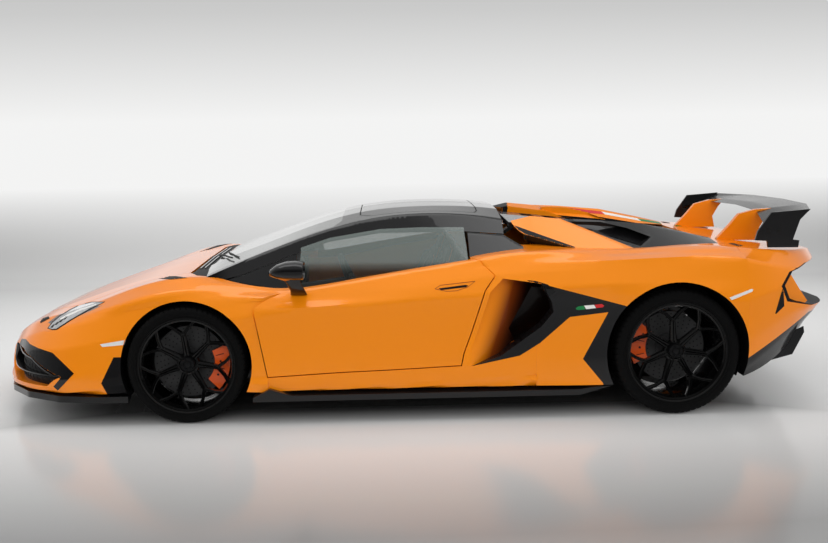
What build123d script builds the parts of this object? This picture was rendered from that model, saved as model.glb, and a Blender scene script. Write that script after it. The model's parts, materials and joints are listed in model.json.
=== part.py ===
from build123d import *
from math import atan2, cos, degrees, radians, sin
import os

# Mid-engined two-seat supercar with a lift-off roof, all sizes in mm.
# Frame: +X forward, +Y left, +Z up. Origin on the ground, under the middle of the car.
# Outlines and station tables describe the left half; most pieces are mirrored about Y = 0.

os.makedirs("parts", exist_ok=True)

# ------------------------------------------------------------------ driving dimensions
LENGTH = 4943.0
WHEELBASE = 2700.0
FRONT_AXLE_X = 1221.5
REAR_AXLE_X = FRONT_AXLE_X - WHEELBASE
NOSE_X = LENGTH / 2
TAIL_X = -LENGTH / 2

FRONT_TRACK = 1719.0
REAR_TRACK = 1695.0
FRONT_TYRE_R = 327.0
REAR_TYRE_R = 352.0
FRONT_TYRE_W = 255.0
REAR_TYRE_W = 355.0
FRONT_RIM_R = 268.0
REAR_RIM_R = 281.0
FRONT_ARCH_R = 358.0
FRONT_LINER_R = 400.0
REAR_ARCH_R = 394.0
ARCH_LIP_Y = 935.0
WELL_INNER_Y = 560.0
REAR_WELL_INNER_Y = 640.0

BARREL_T = 10.0
SPOKE_COUNT = 7
SPOKE_START_DEG = -5.0
SPOKE_SPREAD_DEG = 17.0
SPOKE_W = 30.0
SPOKE_ARM_W = 19.0
SPOKE_SPLIT = 0.60
HUB_R = 60.0
HUB_FACE = 8.0
NUT_R = 36.0
SPINDLE_R = 30.0
DISC_R = 200.0
DISC_T = 34.0
DISC_LATERAL = -20.0
HAT_R = 76.0
CALLIPER_OUTER_R = 224.0
CALLIPER_INNER_R = 140.0
CALLIPER_HALF_W = 41.0
CALLIPER_GAP = 4.0
FRONT_CALLIPER_DEG = (-45.0, 25.0)
REAR_CALLIPER_DEG = (140.0, 205.0)
KINGPIN_INSET = 60.0
KINGPIN_R = 12.0
KINGPIN_Z = 118.0
EYE_R = 18.0
EYE_T = 24.0
UPRIGHT_T = 46.0
WISHBONE_BASE = 120.0
WISHBONE_WEB = 26.0

PANEL_GAP = 6.0
MIRROR_LAP = 40.0
SEAT_GAP = 0.3
PIN_GAP = 0.3
BONNET_T = 24.0
FRAME_T = 45.0
ROOF_PANEL_T = 28.0
LEDGE_W = 16.0
SCREEN_T = 7.0
GLASS_T = 6.0
GLASS_STANDOFF = 6.0
QUARTER_T = 12.0
LAMP_T = 40.0
LAMP_INSET = 14.0
DOOR_INNER_Y = 850.0
TUB_HALF_WIDTH = 844.0
SILL_INNER_Y = 690.0
FOOTWELL_HALF_WIDTH = 540.0
TUB_WALL = 40.0
TUB_FRONT_X = 1100.0
TUB_WIDE_FRONT_X = 796.0
TUB_REAR_X = -480.0
SILL_TOP_Z = 390.0
FOOTWELL_TOP_Z = 640.0
BULKHEAD_TOP_Z = 900.0
SUBFRAME_FRONT_X = 1326.0
SUBFRAME_TOP_Z = 490.0
GEARBOX_X = (-1640.0, -1330.3)
GEARBOX_HALF_WIDTH = 280.0
GEARBOX_TOP_Z = 520.0
CENTRE_SPINE = 44.0

BODY_BOTTOM_Z = 165.0
FLOOR_BOTTOM_Z = 122.0
FLOOR_T = 20.0
FLOOR_TOP_Z = FLOOR_BOTTOM_Z + FLOOR_T

EXHAUST_Y = 105.0
EXHAUST_Z = 620.0
EXHAUST_R = 56.0
EXHAUST_WALL = 5.0
EXHAUST_FRONT_X = -2236.0
EXHAUST_REAR_X = -2455.0
SEAT_Y = 370.0
SEAT_HALF_W = 235.0
SEAT_BOLSTER = 60.0
WHEEL_CENTRE = (330.0, 370.0, 690.0)
STEERING_R = 178.0
GRIP_R = 15.0

HINGE_PIN_R = 8.0
HINGE_EYE_R = 18.0
HINGE_EYE_W = 20.0
HINGE_Y = 330.0
EAR_T = 8.0
EAR_R = 14.0
COWL_SWEEP_R = 60.0
DOOR_STOP_X = (360.0, -120.0)
TIE_DOWN_X = (1400.0, -1750.0)
TIE_DOWN_R = 8.0
BONNET_HINGE_X = 1262.0
BONNET_HINGE_Z = 748.0
LID_HINGE_X = -640.0
LID_HINGE_Z = 996.0
BONNET_REAR_X = 1244.0
LID_FRONT_X = -618.0
LID_REAR_X = -1790.0
LID_T = 22.0
VENT_DEPTH = 34.0
SLOT_COUNT = 6

# ------------------------------------------------------------------ tables
# Lower body. Columns: x, then (y, z) of: bottom edge, sill corner, lower crease, mid crease,
# shoulder crease, fender crest, inner top crease, and last the height of the top at Y = 0.
BODY_STATIONS = [
    (NOSE_X, (60, 165), (95, 175), (100, 205), (95, 240), (85, 262), (65, 280), (35, 292), 296),
    (2420, (205, 165), (245, 175), (250, 215), (240, 262), (215, 300), (170, 335), (90, 352), 358),
    (2280, (590, 165), (640, 178), (645, 225), (610, 320), (545, 395), (430, 448), (240, 462), 466),
    (2100, (770, 165), (825, 178), (835, 240), (800, 395), (735, 478), (610, 538), (320, 550), 552),
    (1900, (870, 165), (925, 178), (935, 255), (905, 420), (845, 535), (700, 596), (400, 622), 624),
    (1650, (930, 165), (970, 178), (975, 265), (950, 470), (890, 640), (760, 690), (440, 705), 707),
    (1221, (940, 165), (985, 178), (992, 280), (998, 560), (955, 735), (830, 795), (520, 795), 800),
    (950, (940, 165), (985, 178), (990, 265), (988, 590), (960, 695), (860, 752), (600, 800), 820),
    (600, (940, 165), (985, 178), (985, 285), (985, 638), (942, 669), (889, 722), (600, 800), 820),
    (375, (940, 165), (985, 178), (985, 290), (985, 650), (950, 677), (890, 751), (600, 820), 840),
    (45, (940, 165), (985, 178), (985, 300), (985, 671), (955, 727), (885, 805), (600, 860), 875),
    (-284, (940, 165), (985, 178), (986, 310), (986, 690), (955, 770), (880, 855), (600, 900), 905),
    (-600, (945, 165), (990, 178), (992, 320), (992, 715), (958, 803), (870, 902), (600, 925), 930),
    (-1051, (975, 165), (1020, 180), (1025, 330), (1018, 740), (970, 863), (830, 905), (500, 925), 928),
    (-1479, (990, 175), (1040, 200), (1049, 330), (1049, 690), (990, 880), (830, 915), (500, 922), 925),
    (-1850, (985, 200), (1030, 260), (1040, 400), (1040, 640), (975, 862), (830, 908), (500, 912), 912),
    (-2100, (860, 290), (910, 400), (935, 520), (940, 690), (905, 800), (810, 885), (480, 893), 893),
    (-2300, (690, 420), (770, 490), (815, 560), (805, 660), (770, 770), (650, 866), (350, 872), 872),
    (TAIL_X, (330, 500), (470, 530), (530, 575), (520, 650), (480, 745), (360, 836), (180, 840), 840),
]

# Greenhouse. Columns: x, then (y, z) of: foot inside the doors, roof rail, crown, and the top at Y = 0.
CANOPY_STATIONS = [
    (1165, (815, 700), (790, 775), (420, 802), 806),
    (941, (860, 690), (741, 862), (400, 892), 897),
    (606, (885, 680), (665, 980), (360, 1010), 1016),
    (378, (885, 700), (625, 1046), (340, 1078), 1085),
    (159, (885, 740), (590, 1088), (320, 1116), 1122),
    (-85, (880, 780), (570, 1106), (310, 1131), 1136),
    (-319, (878, 815), (560, 1098), (305, 1128), 1133),
    (-560, (860, 850), (560, 1066), (305, 1106), 1113),
    (-700, (845, 870), (558, 1040), (305, 1082), 1090),
]

# Flying buttress beside the engine lid. Columns: x, outer foot, ridge and inner edge as (y, z), underside z.
BUTTRESS_STATIONS = [
    (-566, (612, 1014), (566, 1044), (520, 1034), 985),
    (-729, (673, 972), (560, 1080), (500, 1060), 930),
    (-905, (740, 922), (560, 1061), (485, 1035), 880),
    (-1080, (806, 885), (558, 1052), (475, 1010), 870),
    (-1375, (812, 900), (548, 1026), (465, 975), 870),
    (-1630, (815, 902), (535, 972), (455, 930), 870),
    (-1800, (815, 900), (524, 932), (445, 918), 870),
]

# Lid over the engine. Columns: x, half width, height at Y = 0, height at the edge.
LID_STATIONS = [
    (LID_FRONT_X, 440, 1050, 1036),
    (-900, 436, 1022, 1006),
    (-1400, 420, 962, 946),
    (LID_REAR_X, 395, 918, 908),
]

# Wing blade. Columns: y, leading edge x and z, trailing edge x and z, thickness.
WING_STATIONS = [
    (0, -2150, 1082, -2452, 1116, 26),
    (420, -2120, 1075, -2425, 1114, 26),
    (700, -2055, 1030, -2320, 1108, 22),
    (768, -2030, 1000, -2290, 1106, 16),
]

# Wheels. Columns: name, axle x, tyre radius, tyre width, rim radius, track.
WHEELS = [
    ("front", FRONT_AXLE_X, FRONT_TYRE_R, FRONT_TYRE_W, FRONT_RIM_R, FRONT_TRACK),
    ("rear", REAR_AXLE_X, REAR_TYRE_R, REAR_TYRE_W, REAR_RIM_R, REAR_TRACK),
]

# Side-view outlines (x, z).
DOOR_SIDE = [(843, 1100), (843, 612), (778, 257), (383, 276), (53, 286), (-284, 300), (-297, 365),
             (-343, 491), (-416, 711), (-472, 788), (-472, 1100)]
BLADE_OUTLINE = [(-350, 294), (-503, 347), (-726, 509), (-793, 592), (-781, 648), (-729, 746),
                 (-1192, 619), (-1089, 587), (-881, 562), (-719, 418), (-608, 348)]
SCOOP_OUTLINE = [(-322, 306), (-334, 365), (-378, 491), (-448, 705), (-520, 775), (-729, 746), (-781, 648),
                 (-793, 592), (-726, 509), (-503, 347), (-350, 294)]
REAR_VENT_OUTLINE = [(-1089, 587), (-953, 328), (-1065, 190), (-1090, 100), (-1300, 100), (-1300, 619), (-1192, 619)]
FRONT_VENT_OUTLINE = [(1616, 382), (1690, 238), (1626, 100), (1480, 100), (1480, 382)]
GLASS_OUTLINE = [(612, 660), (598, 936), (435, 986), (149, 1028), (-82, 1034), (-331, 1030), (-345, 780),
                 (0, 735), (375, 690)]
RAIL_OUTLINE = [(1260, 700), (1150, 745), (935, 796), (606, 912), (435, 964), (149, 1006), (-331, 1008),
                (-560, 990), (-560, 1300), (1260, 1300)]
FRONT_QUARTER_OUTLINE = [(1150, 738), (935, 790), (622, 902), (634, 660), (1150, 660)]
FIN_OUTLINE = [(-540, 1200), (-905, 1200), (-905, 1062), (-1292, 905), (-1292, 820), (-500, 820)]
BUTTRESS_VENT_OUTLINE = [(-960, 1046), (-1010, 1010), (-1330, 915), (-1410, 958), (-1290, 1004), (-1141, 1040)]
REAR_QUARTER_OUTLINE = [(-352, 1003), (-556, 985), (-660, 925), (-660, 800), (-352, 800)]
BUMPER_OUTLINE = [(2600, 50), (2600, 530), (2150, 530), (2120, 505), (1500, 448), (1500, 50)]
DIFFUSER_SIDE = [(-1700, 0), (-1700, 305), (-1850, 305), (-2171, 459), (-2300, 520), (-2700, 535), (-2700, 0)]
TAIL_RECESS = [(-2700, 812), (-2300, 800), (-2160, 772), (-2095, 700), (-2140, 610), (-2330, 565), (-2700, 556)]
TAIL_PANEL_T = 24.0
ROCKER_OUTLINE = [(778, 50), (778, 251), (383, 270), (53, 280), (-284, 294), (-350, 294), (-608, 348),
                  (-719, 418), (-881, 562), (-1089, 587), (-953, 328), (-1065, 190), (-1090, 50)]
SILL_BLADE = [(860, 148), (767, 196), (648, 158), (-940, 158), (-1020, 170), (-1110, 174),
              (-938, 126), (643, 126), (860, 126)]
WING_ENDPLATE = [(-2294, 1112), (-2236, 1052), (-2199, 940), (-2236, 934), (-2231, 894), (-2057, 896),
                 (-2050, 934), (-1981, 938), (-1996, 991), (-2070, 1096)]
PYLON_SIDE = [(-1872, 905), (-1960, 1000), (-2010, 1060), (-2110, 1086), (-2215, 1092), (-2172, 1040),
              (-2135, 975), (-2150, 900)]
SEAT_SIDE = [(470, 240), (500, 330), (420, 350), (60, 300), (-60, 312), (-170, 560), (-262, 880),
             (-330, 905), (-352, 860), (-300, 560), (-250, 260), (-180, 190), (420, 190)]
DASH_SIDE = [(1060, 642), (1060, 700), (880, 770), (730, 750), (680, 670), (710, 590), (794, 590), (794, 642)]

# Plan-view outlines (x, y).
LAP_SLOPE = 0.529
LAP_FRONT_Y = 978.0
DOOR_PLAN = [(601, 850), (843, LAP_FRONT_Y), (900, LAP_FRONT_Y + 57 * LAP_SLOPE), (900, 1200), (-700, 1200),
             (-472, 955), (-391, 880), (-359, 850)]
SCREEN_OUTLINE = [(1190, -10), (1190, 500), (1140, 742), (941, 692), (606, 618), (420, 590), (372, 480), (372, -10)]
ROOF_PANEL_OUTLINE = [(262, CENTRE_SPINE / 2), (262, 420), (196, 500), (-405, 478), (-425, 420),
                      (-425, CENTRE_SPINE / 2)]
BONNET_OUTLINE = [(BONNET_REAR_X, -10), (BONNET_REAR_X, 640), (1900, 565), (2150, 330), (2185, 140), (2190, -10)]
FENDER_PLAN = [(601, 846), (850, 846), (1180, 766), (1238, 646), (1902, 571), (2156, 335), (2156, 1200), (601, 1200)]
COWL_PLAN = [(BONNET_REAR_X - PANEL_GAP, -10), (BONNET_REAR_X - PANEL_GAP, 646), (1180, 766), (1060, 780), (1060, -10)]
SPLITTER_PLAN = [(2440, -10), (2430, 180), (2382, 320), (2337, 500), (2290, 640), (2143, 815), (1933, 940),
                 (1699, 985), (1545, 985), (1545, 620), (1612, 545), (1642, -10)]
FLOOR_PLAN = [(1640, -10), (1610, 545), (820, 545), (820, 930), (-1060, 930), (-1060, 634), (-1850, 634), (-1850, -10)]
HEADLAMP_PLAN = [(2052, 690), (1984, 775), (1702, 815), (1850, 700), (1950, 630)]
INTAKE_FRONT = [(285, 345), (560, 392), (700, 386), (800, 352), (926, 268), (880, 206), (330, 200)]
NOSE_INTAKE_FRONT = [(-10, 258), (170, 262), (250, 300), (262, 205), (-10, 195)]


# ------------------------------------------------------------------ helpers
def station_plane(x):
    """Cross plane at x, with local axes Y and Z."""
    return Plane(origin=(x, 0, 0), x_dir=(0, 1, 0), z_dir=(1, 0, 0))


def side_plane(y):
    """Side plane at y, with local axes X and Z; its normal points to -Y."""
    return Plane(origin=(0, y, 0), x_dir=(1, 0, 0), z_dir=(0, -1, 0))


def station_loft(sections, ruled=False):
    """Solid through closed cross sections, given as (x, [(y, z), ...])."""
    with BuildPart() as solid:
        for x, points in sections:
            with BuildSketch(station_plane(x)):
                with BuildLine():
                    Polyline(*points, close=True)
                make_face()
        loft(ruled=ruled)
    return solid.part


def body_section(row):
    """Half section of the lower body from one row of BODY_STATIONS."""
    x, *creases, top = row
    return x, [(-MIRROR_LAP, creases[0][1])] + list(creases) + [(-MIRROR_LAP, top)]


def canopy_section(row, out):
    """Half section of the greenhouse, moved outwards by a thickness."""
    x, foot, rail, crown, top = row
    return x, [(-MIRROR_LAP, foot[1]), (foot[0] + out, foot[1]), (rail[0] + 0.75 * out, rail[1] + 0.75 * out),
               (crown[0], crown[1] + out), (-MIRROR_LAP, top + out)]


def canopy(out=0.0):
    """Left half of the greenhouse, moved outwards by a thickness."""
    return station_loft([canopy_section(row, out) for row in CANOPY_STATIONS])


def buttress_section(row, out=0.0):
    """Section of one flying buttress, moved outwards by a thickness."""
    x, foot, ridge, inner, under = row
    return x, [(inner[0], under), (foot[0] - 40, under), (foot[0] + out, foot[1]),
               (ridge[0], ridge[1] + out), inner]


def side_prism(outline, y_low, y_high, grow=0.0):
    """Side-view outline, made larger by grow and extruded between two Y planes."""
    with BuildPart() as prism:
        with BuildSketch(side_plane(y_high)):
            with BuildLine():
                Polyline(*outline, close=True)
            make_face()
            if grow:
                offset(amount=grow, kind=Kind.INTERSECTION)
        extrude(amount=y_high - y_low)
    return prism.part


def plan_prism(outline, z_low, z_high, grow=0.0):
    """Plan-view outline, made larger by grow and extruded between two heights."""
    with BuildPart() as prism:
        with BuildSketch(Plane.XY.offset(z_low)):
            with BuildLine():
                Polyline(*outline, close=True)
            make_face()
            if grow:
                offset(amount=grow, kind=Kind.INTERSECTION)
        extrude(amount=z_high - z_low)
    return prism.part


def front_prism(outline, x_low, x_high):
    """Front-view outline (y, z) extruded between two X planes."""
    with BuildPart() as prism:
        with BuildSketch(station_plane(x_low)):
            with BuildLine():
                Polyline(*outline, close=True)
            make_face()
        extrude(amount=x_high - x_low)
    return prism.part


def box(x_range, y_range, z_range):
    """Box between two values on each axis."""
    return plan_prism([(x_range[0], y_range[0]), (x_range[1], y_range[0]), (x_range[1], y_range[1]),
                       (x_range[0], y_range[1])], *z_range)


def common(solid, other):
    """What two solids share."""
    with BuildPart() as shared:
        add(solid)
        add(other, mode=Mode.INTERSECT)
    return shared.part


def less(solid, *others):
    """A solid with others cut away."""
    with BuildPart() as cut:
        add(solid)
        add(list(others), mode=Mode.SUBTRACT)
    return cut.part


def cross_cylinder(x, z, radius, y_low, y_high):
    """Cylinder along Y between two Y planes."""
    with BuildPart() as rod:
        with BuildSketch(side_plane(y_high)):
            with Locations((x, z)):
                Circle(radius)
        extrude(amount=y_high - y_low)
    return rod.part


def mirrored(solid):
    """The same solid on the other side of the car."""
    return mirror(solid, about=Plane.XZ)


def wheel_plane(axle_x, centre_z, y):
    """Plane across a left wheel, seen from outside: local X to the rear, local Y up, normal outwards."""
    return Plane(origin=(axle_x, y, centre_z), x_dir=(-1, 0, 0), z_dir=(0, 1, 0))


def wheel_profile_plane(axle_x, centre_z, y):
    """Plane through a left wheel's axis: local X outwards along the axis, local Y up."""
    return Plane(origin=(axle_x, y, centre_z), x_dir=(0, 1, 0), z_dir=(1, 0, 0))


def turned(plane, outline):
    """Solid made by turning an outline about the local X axis of a wheel profile plane."""
    with BuildPart() as solid:
        with BuildSketch(plane):
            with BuildLine():
                Polyline(*outline, close=True)
            make_face()
        revolve(axis=Axis(plane.origin, plane.x_dir), revolution_arc=360)
    return solid.part


def ring(plane, outer_r, inner_r, low, high):
    """Ring about a wheel's axis between two lateral positions."""
    return turned(plane, [(low, inner_r), (low, outer_r), (high, outer_r), (high, inner_r)])


def drum(plane, radius, low, high):
    """Solid drum about a wheel's axis between two lateral positions."""
    return turned(plane, [(low, 0), (low, radius), (high, radius), (high, 0)])


def write(builder, name):
    """Names a finished piece and writes its file."""
    builder.part.label = name
    export_step(builder.part, f"parts/{name}.step")


def hinge_ears(x, z, foot):
    """Two pairs of ears with their pins, for the eyes at the hinge's two stations. foot is the ears' lower outline."""
    with BuildPart() as body:
        for hinge_y in (-HINGE_Y, HINGE_Y):
            for side in (-1, 1):
                near = hinge_y + side * (HINGE_EYE_W / 2 + PANEL_GAP)
                with BuildSketch(side_plane(max(near, near + side * EAR_T))):
                    with BuildLine():
                        Polyline(*foot, close=True)
                    make_face()
                    with Locations((x, z)):
                        Circle(EAR_R)
                extrude(amount=EAR_T)
            with BuildSketch(side_plane(hinge_y + HINGE_EYE_W / 2 + PANEL_GAP + 1)):
                with Locations((x, z)):
                    Circle(HINGE_PIN_R)
            extrude(amount=HINGE_EYE_W + 2 * PANEL_GAP + 2)
    return body.part


# ------------------------------------------------------------------ master surfaces
left_side = box((-2600, 2600), (0, 1200), (-100, 1400))
front_half = common(station_loft([body_section(row) for row in BODY_STATIONS[:10]]), left_side)
middle_half = common(station_loft([body_section(row) for row in BODY_STATIONS[6:14]]), left_side)
rear_half = common(station_loft([body_section(row) for row in BODY_STATIONS[9:17]]), left_side)
tail_half = common(station_loft([body_section(row) for row in BODY_STATIONS[14:]]), left_side)
canopy_skin = common(canopy(), left_side)
canopy_frame_inner = canopy(-FRAME_T)
canopy_panel_inner = canopy(-ROOF_PANEL_T)
canopy_ledge_top = canopy(-ROOF_PANEL_T - SEAT_GAP)
roof_rebate = less(plan_prism(ROOF_PANEL_OUTLINE, 600, 1300, grow=PANEL_GAP), canopy_ledge_top)
canopy_quarter_inner = canopy(-QUARTER_T)
canopy_screen_inner = canopy(-SCREEN_T)
glass_outer = canopy(GLASS_STANDOFF + GLASS_T)
glass_inner = canopy(GLASS_STANDOFF)

front_well = cross_cylinder(FRONT_AXLE_X, FRONT_TYRE_R, FRONT_LINER_R, WELL_INNER_Y, ARCH_LIP_Y)
front_arch = cross_cylinder(FRONT_AXLE_X, FRONT_TYRE_R, FRONT_ARCH_R, ARCH_LIP_Y - 1, 1300)
rear_well = cross_cylinder(REAR_AXLE_X, REAR_TYRE_R, REAR_ARCH_R, REAR_WELL_INNER_Y - 20, 1300)
bumper_region = side_prism(BUMPER_OUTLINE, -20, 1300)
bonnet_region = plan_prism(BONNET_OUTLINE, 350, 1000)
bonnet_hole = plan_prism(BONNET_OUTLINE, 340, 1100, grow=PANEL_GAP)
rocker_region = side_prism(ROCKER_OUTLINE, 800, 1300)
blade_region = side_prism(BLADE_OUTLINE, 890, 1300)
front_vent_region = side_prism(FRONT_VENT_OUTLINE, 900, 1300)
rear_vent_region = side_prism(REAR_VENT_OUTLINE, 860, 1300)
diffuser_region = side_prism(DIFFUSER_SIDE, -20, 1300)
tail_recess = side_prism(TAIL_RECESS, -20, 1300)
tail_panel_region = side_prism([(x + TAIL_PANEL_T, z) for x, z in TAIL_RECESS], -20, 1300)
door_region = common(side_prism(DOOR_SIDE, 800, 1250), plan_prism(DOOR_PLAN, 100, 1150))
door_opening = common(side_prism(DOOR_SIDE, 800, 1300, grow=PANEL_GAP),
                      plan_prism(DOOR_PLAN, 50, 1200, grow=PANEL_GAP))


side_intake = front_prism(INTAKE_FRONT, 1850, 2700)
nose_intake = front_prism(NOSE_INTAKE_FRONT, 2330, 2700)
headlamp_region = plan_prism(HEADLAMP_PLAN, 300, 900)

# ------------------------------------------------------------------ front panels
with BuildPart() as front_bumper:
    add(front_half)
    add(bumper_region, mode=Mode.INTERSECT)
    add([bonnet_hole, box((1400, 2030), (-20, 580), (50, 900)), front_well, front_arch, front_vent_region,
         side_intake, nose_intake], mode=Mode.SUBTRACT)
    mirror(about=Plane.XZ)
write(front_bumper, "front_bumper")

with BuildPart() as headlamps:
    add(front_half)
    add(headlamp_region, mode=Mode.INTERSECT)
    add(front_half.moved(Location((0, 0, -LAMP_T))), mode=Mode.SUBTRACT)
    add(bumper_region, mode=Mode.SUBTRACT)
headlamp_left = headlamps.part
with BuildPart() as headlamps:
    add(headlamp_left)
    mirror(about=Plane.XZ)
write(headlamps, "headlamps")

with BuildPart() as front_fenders:
    add(front_half)
    add(plan_prism(FENDER_PLAN, 50, 1100), mode=Mode.INTERSECT)
    add([bumper_region, rocker_region, front_well, front_arch, door_opening, headlamp_left, canopy_skin],
        mode=Mode.SUBTRACT)
    mirror(about=Plane.XZ)
write(front_fenders, "front_fenders")

with BuildPart() as bonnet:
    add(front_half)
    add(bonnet_region, mode=Mode.INTERSECT)
    add(front_half.moved(Location((0, 0, -BONNET_T))), mode=Mode.SUBTRACT)
    mirror(about=Plane.XZ)
    for hinge_y in (-HINGE_Y, HINGE_Y):
        hinge_low = hinge_y - HINGE_EYE_W / 2
        with BuildSketch(side_plane(hinge_y + HINGE_EYE_W / 2)):
            with Locations((BONNET_HINGE_X, BONNET_HINGE_Z)):
                Circle(HINGE_EYE_R)
            with BuildLine():
                Polyline((BONNET_HINGE_X - 16, BONNET_HINGE_Z), (BONNET_HINGE_X - 10, BONNET_HINGE_Z + 38),
                         (BONNET_HINGE_X + 60, BONNET_HINGE_Z + 28), (BONNET_HINGE_X + 16, BONNET_HINGE_Z), close=True)
            make_face()
        extrude(amount=HINGE_EYE_W)
        with BuildSketch(side_plane(hinge_y + HINGE_EYE_W)):
            with Locations((BONNET_HINGE_X, BONNET_HINGE_Z)):
                Circle(HINGE_PIN_R + PIN_GAP)
        extrude(amount=2 * HINGE_EYE_W, mode=Mode.SUBTRACT)
write(bonnet, "bonnet")

with BuildPart() as front_trim:
    add(front_half.moved(Location((-70, 0, 0))))
    add([front_prism(INTAKE_FRONT, 1850, 2700), front_prism(NOSE_INTAKE_FRONT, 2330, 2700)], mode=Mode.INTERSECT)
    add(box((1800, 2001), (-20, 481), (0, 900)), mode=Mode.SUBTRACT)
front_trim_left = front_trim.part
front_vent = less(common(front_half, front_vent_region), front_arch, front_well)
with BuildPart() as front_trim:
    add([front_trim_left, front_vent])
    mirror(about=Plane.XZ)
write(front_trim, "front_trim")

with BuildPart() as front_splitter:
    add(plan_prism(SPLITTER_PLAN, 129, BODY_BOTTOM_Z - 1))
    add([front_well, front_arch, front_half], mode=Mode.SUBTRACT)
    mirror(about=Plane.XZ)
    add(front_bumper.part, mode=Mode.SUBTRACT)
write(front_splitter, "front_splitter")

cowl_sweep = cross_cylinder(BONNET_HINGE_X, BONNET_HINGE_Z, COWL_SWEEP_R, -50, 660)
bonnet_ears = hinge_ears(BONNET_HINGE_X, BONNET_HINGE_Z, [
    (BONNET_HINGE_X - 13, BONNET_HINGE_Z - 4), (BONNET_HINGE_X + 13, BONNET_HINGE_Z - 4),
    (BONNET_HINGE_X + 6, BONNET_HINGE_Z - 48), (BONNET_HINGE_X - 22, BONNET_HINGE_Z - 57),
    (BONNET_HINGE_X - 50, BONNET_HINGE_Z - 57), (BONNET_HINGE_X - 30, BONNET_HINGE_Z - 40)])
with BuildPart() as cowl:
    add(front_half)
    add(plan_prism(COWL_PLAN, 690, 1000), mode=Mode.INTERSECT)
    add([canopy_skin, cowl_sweep], mode=Mode.SUBTRACT)
    mirror(about=Plane.XZ)
    add(bonnet_ears)
write(cowl, "cowl")

# ------------------------------------------------------------------ greenhouse
with BuildPart() as roof_frame:
    add(canopy_skin)
    add(side_prism(RAIL_OUTLINE, -20, 1300), mode=Mode.INTERSECT)
    add([canopy_frame_inner, plan_prism(SCREEN_OUTLINE, 600, 1300)], mode=Mode.SUBTRACT)
    add(plan_prism(ROOF_PANEL_OUTLINE, 600, 1300, grow=-LEDGE_W), mode=Mode.SUBTRACT)
    add(roof_rebate, mode=Mode.SUBTRACT)
    add([front_half, rear_half], mode=Mode.SUBTRACT)
    mirror(about=Plane.XZ)
write(roof_frame, "roof_frame")

with BuildPart() as roof_panel_left:
    add(canopy_skin)
    add(plan_prism(ROOF_PANEL_OUTLINE, 600, 1300), mode=Mode.INTERSECT)
    add(canopy_panel_inner, mode=Mode.SUBTRACT)
write(roof_panel_left, "roof_panel_left")

with BuildPart() as roof_panel_right:
    add(mirrored(roof_panel_left.part))
write(roof_panel_right, "roof_panel_right")

with BuildPart() as windscreen:
    add(canopy_skin)
    add(plan_prism(SCREEN_OUTLINE, 600, 1300), mode=Mode.INTERSECT)
    add([canopy_screen_inner, front_half], mode=Mode.SUBTRACT)
    mirror(about=Plane.XZ)
write(windscreen, "windscreen")

with BuildPart() as quarter_panels:
    add(canopy_skin)
    add(canopy_quarter_inner, mode=Mode.SUBTRACT)
    add([side_prism(FRONT_QUARTER_OUTLINE, 500, 1300), side_prism(REAR_QUARTER_OUTLINE, 500, 1300)],
        mode=Mode.INTERSECT)
    add([front_half, rear_half, side_prism(RAIL_OUTLINE, 0, 1300)], mode=Mode.SUBTRACT)
    mirror(about=Plane.XZ)
write(quarter_panels, "quarter_panels")

# ------------------------------------------------------------------ doors
with BuildPart() as door_left:
    add(middle_half)
    add(door_region, mode=Mode.INTERSECT)
    add(canopy(GLASS_STANDOFF + GLASS_T + SEAT_GAP), mode=Mode.SUBTRACT)
write(door_left, "door_left")

with BuildPart() as door_glass_left:
    add(glass_outer)
    add(side_prism(GLASS_OUTLINE, 500, 1300), mode=Mode.INTERSECT)
    add(glass_inner, mode=Mode.SUBTRACT)
write(door_glass_left, "door_glass_left")

# Mirror head. Columns: x, inner y, outer y, low z, high z.
MIRROR_STATIONS = [
    (736, 1020, 1085, 748, 790),
    (700, 992, 1118, 718, 820),
    (610, 980, 1131, 704, 834),
    (548, 984, 1128, 706, 832),
]
MIRROR_CORNER = 26.0


def mirror_section(row):
    """Cross section of the mirror head, a box with cut corners."""
    x, low_y, high_y, low_z, high_z = row
    cut = min(MIRROR_CORNER, (high_z - low_z) / 3)
    return x, [(low_y, low_z + cut), (low_y + cut, low_z), (high_y - 2 * cut, low_z), (high_y, low_z + 1.6 * cut),
               (high_y, high_z - cut), (high_y - cut, high_z), (low_y + cut, high_z), (low_y, high_z - cut)]


mirror_head = station_loft([mirror_section(row) for row in MIRROR_STATIONS], ruled=True)
with BuildPart() as mirror_left:
    with BuildSketch(Plane(origin=(0, 930, 0), x_dir=(1, 0, 0), z_dir=(0, -1, 0))):
        with BuildLine():
            Polyline((590, 668), (640, 660), (668, 690), (600, 700), close=True)
        make_face()
    with BuildSketch(Plane(origin=(0, 1030, 0), x_dir=(1, 0, 0), z_dir=(0, -1, 0))):
        with BuildLine():
            Polyline((612, 726), (668, 726), (680, 750), (612, 750), close=True)
        make_face()
    loft(ruled=True)
    add(mirror_head)
    add(door_left.part, mode=Mode.SUBTRACT)
write(mirror_left, "mirror_left")

for part_left, name in ((door_left, "door_right"), (door_glass_left, "door_glass_right"), (mirror_left, "mirror_right")):
    with BuildPart() as twin:
        add(mirrored(part_left.part))
    write(twin, name)

# ------------------------------------------------------------------ body sides and rear
with BuildPart() as rocker_panels:
    add(middle_half)
    add(rocker_region, mode=Mode.INTERSECT)
    add(plan_prism([(-700, 846), (900, 846), (900, 1300), (-700, 1300)], 50, 700), mode=Mode.INTERSECT)
rocker_front = rocker_panels.part
with BuildPart() as rocker_panels:
    add(rear_half)
    add(rocker_region, mode=Mode.INTERSECT)
    add(plan_prism([(-1300, 860), (-700, 860), (-700, 1300), (-1300, 1300)], 50, 700), mode=Mode.INTERSECT)
    add([rear_well, rear_vent_region], mode=Mode.SUBTRACT)
rocker_rear = rocker_panels.part
with BuildPart() as rocker_panels:
    add([rocker_front, rocker_rear])
    mirror(about=Plane.XZ)
write(rocker_panels, "rocker_panels")

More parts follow.
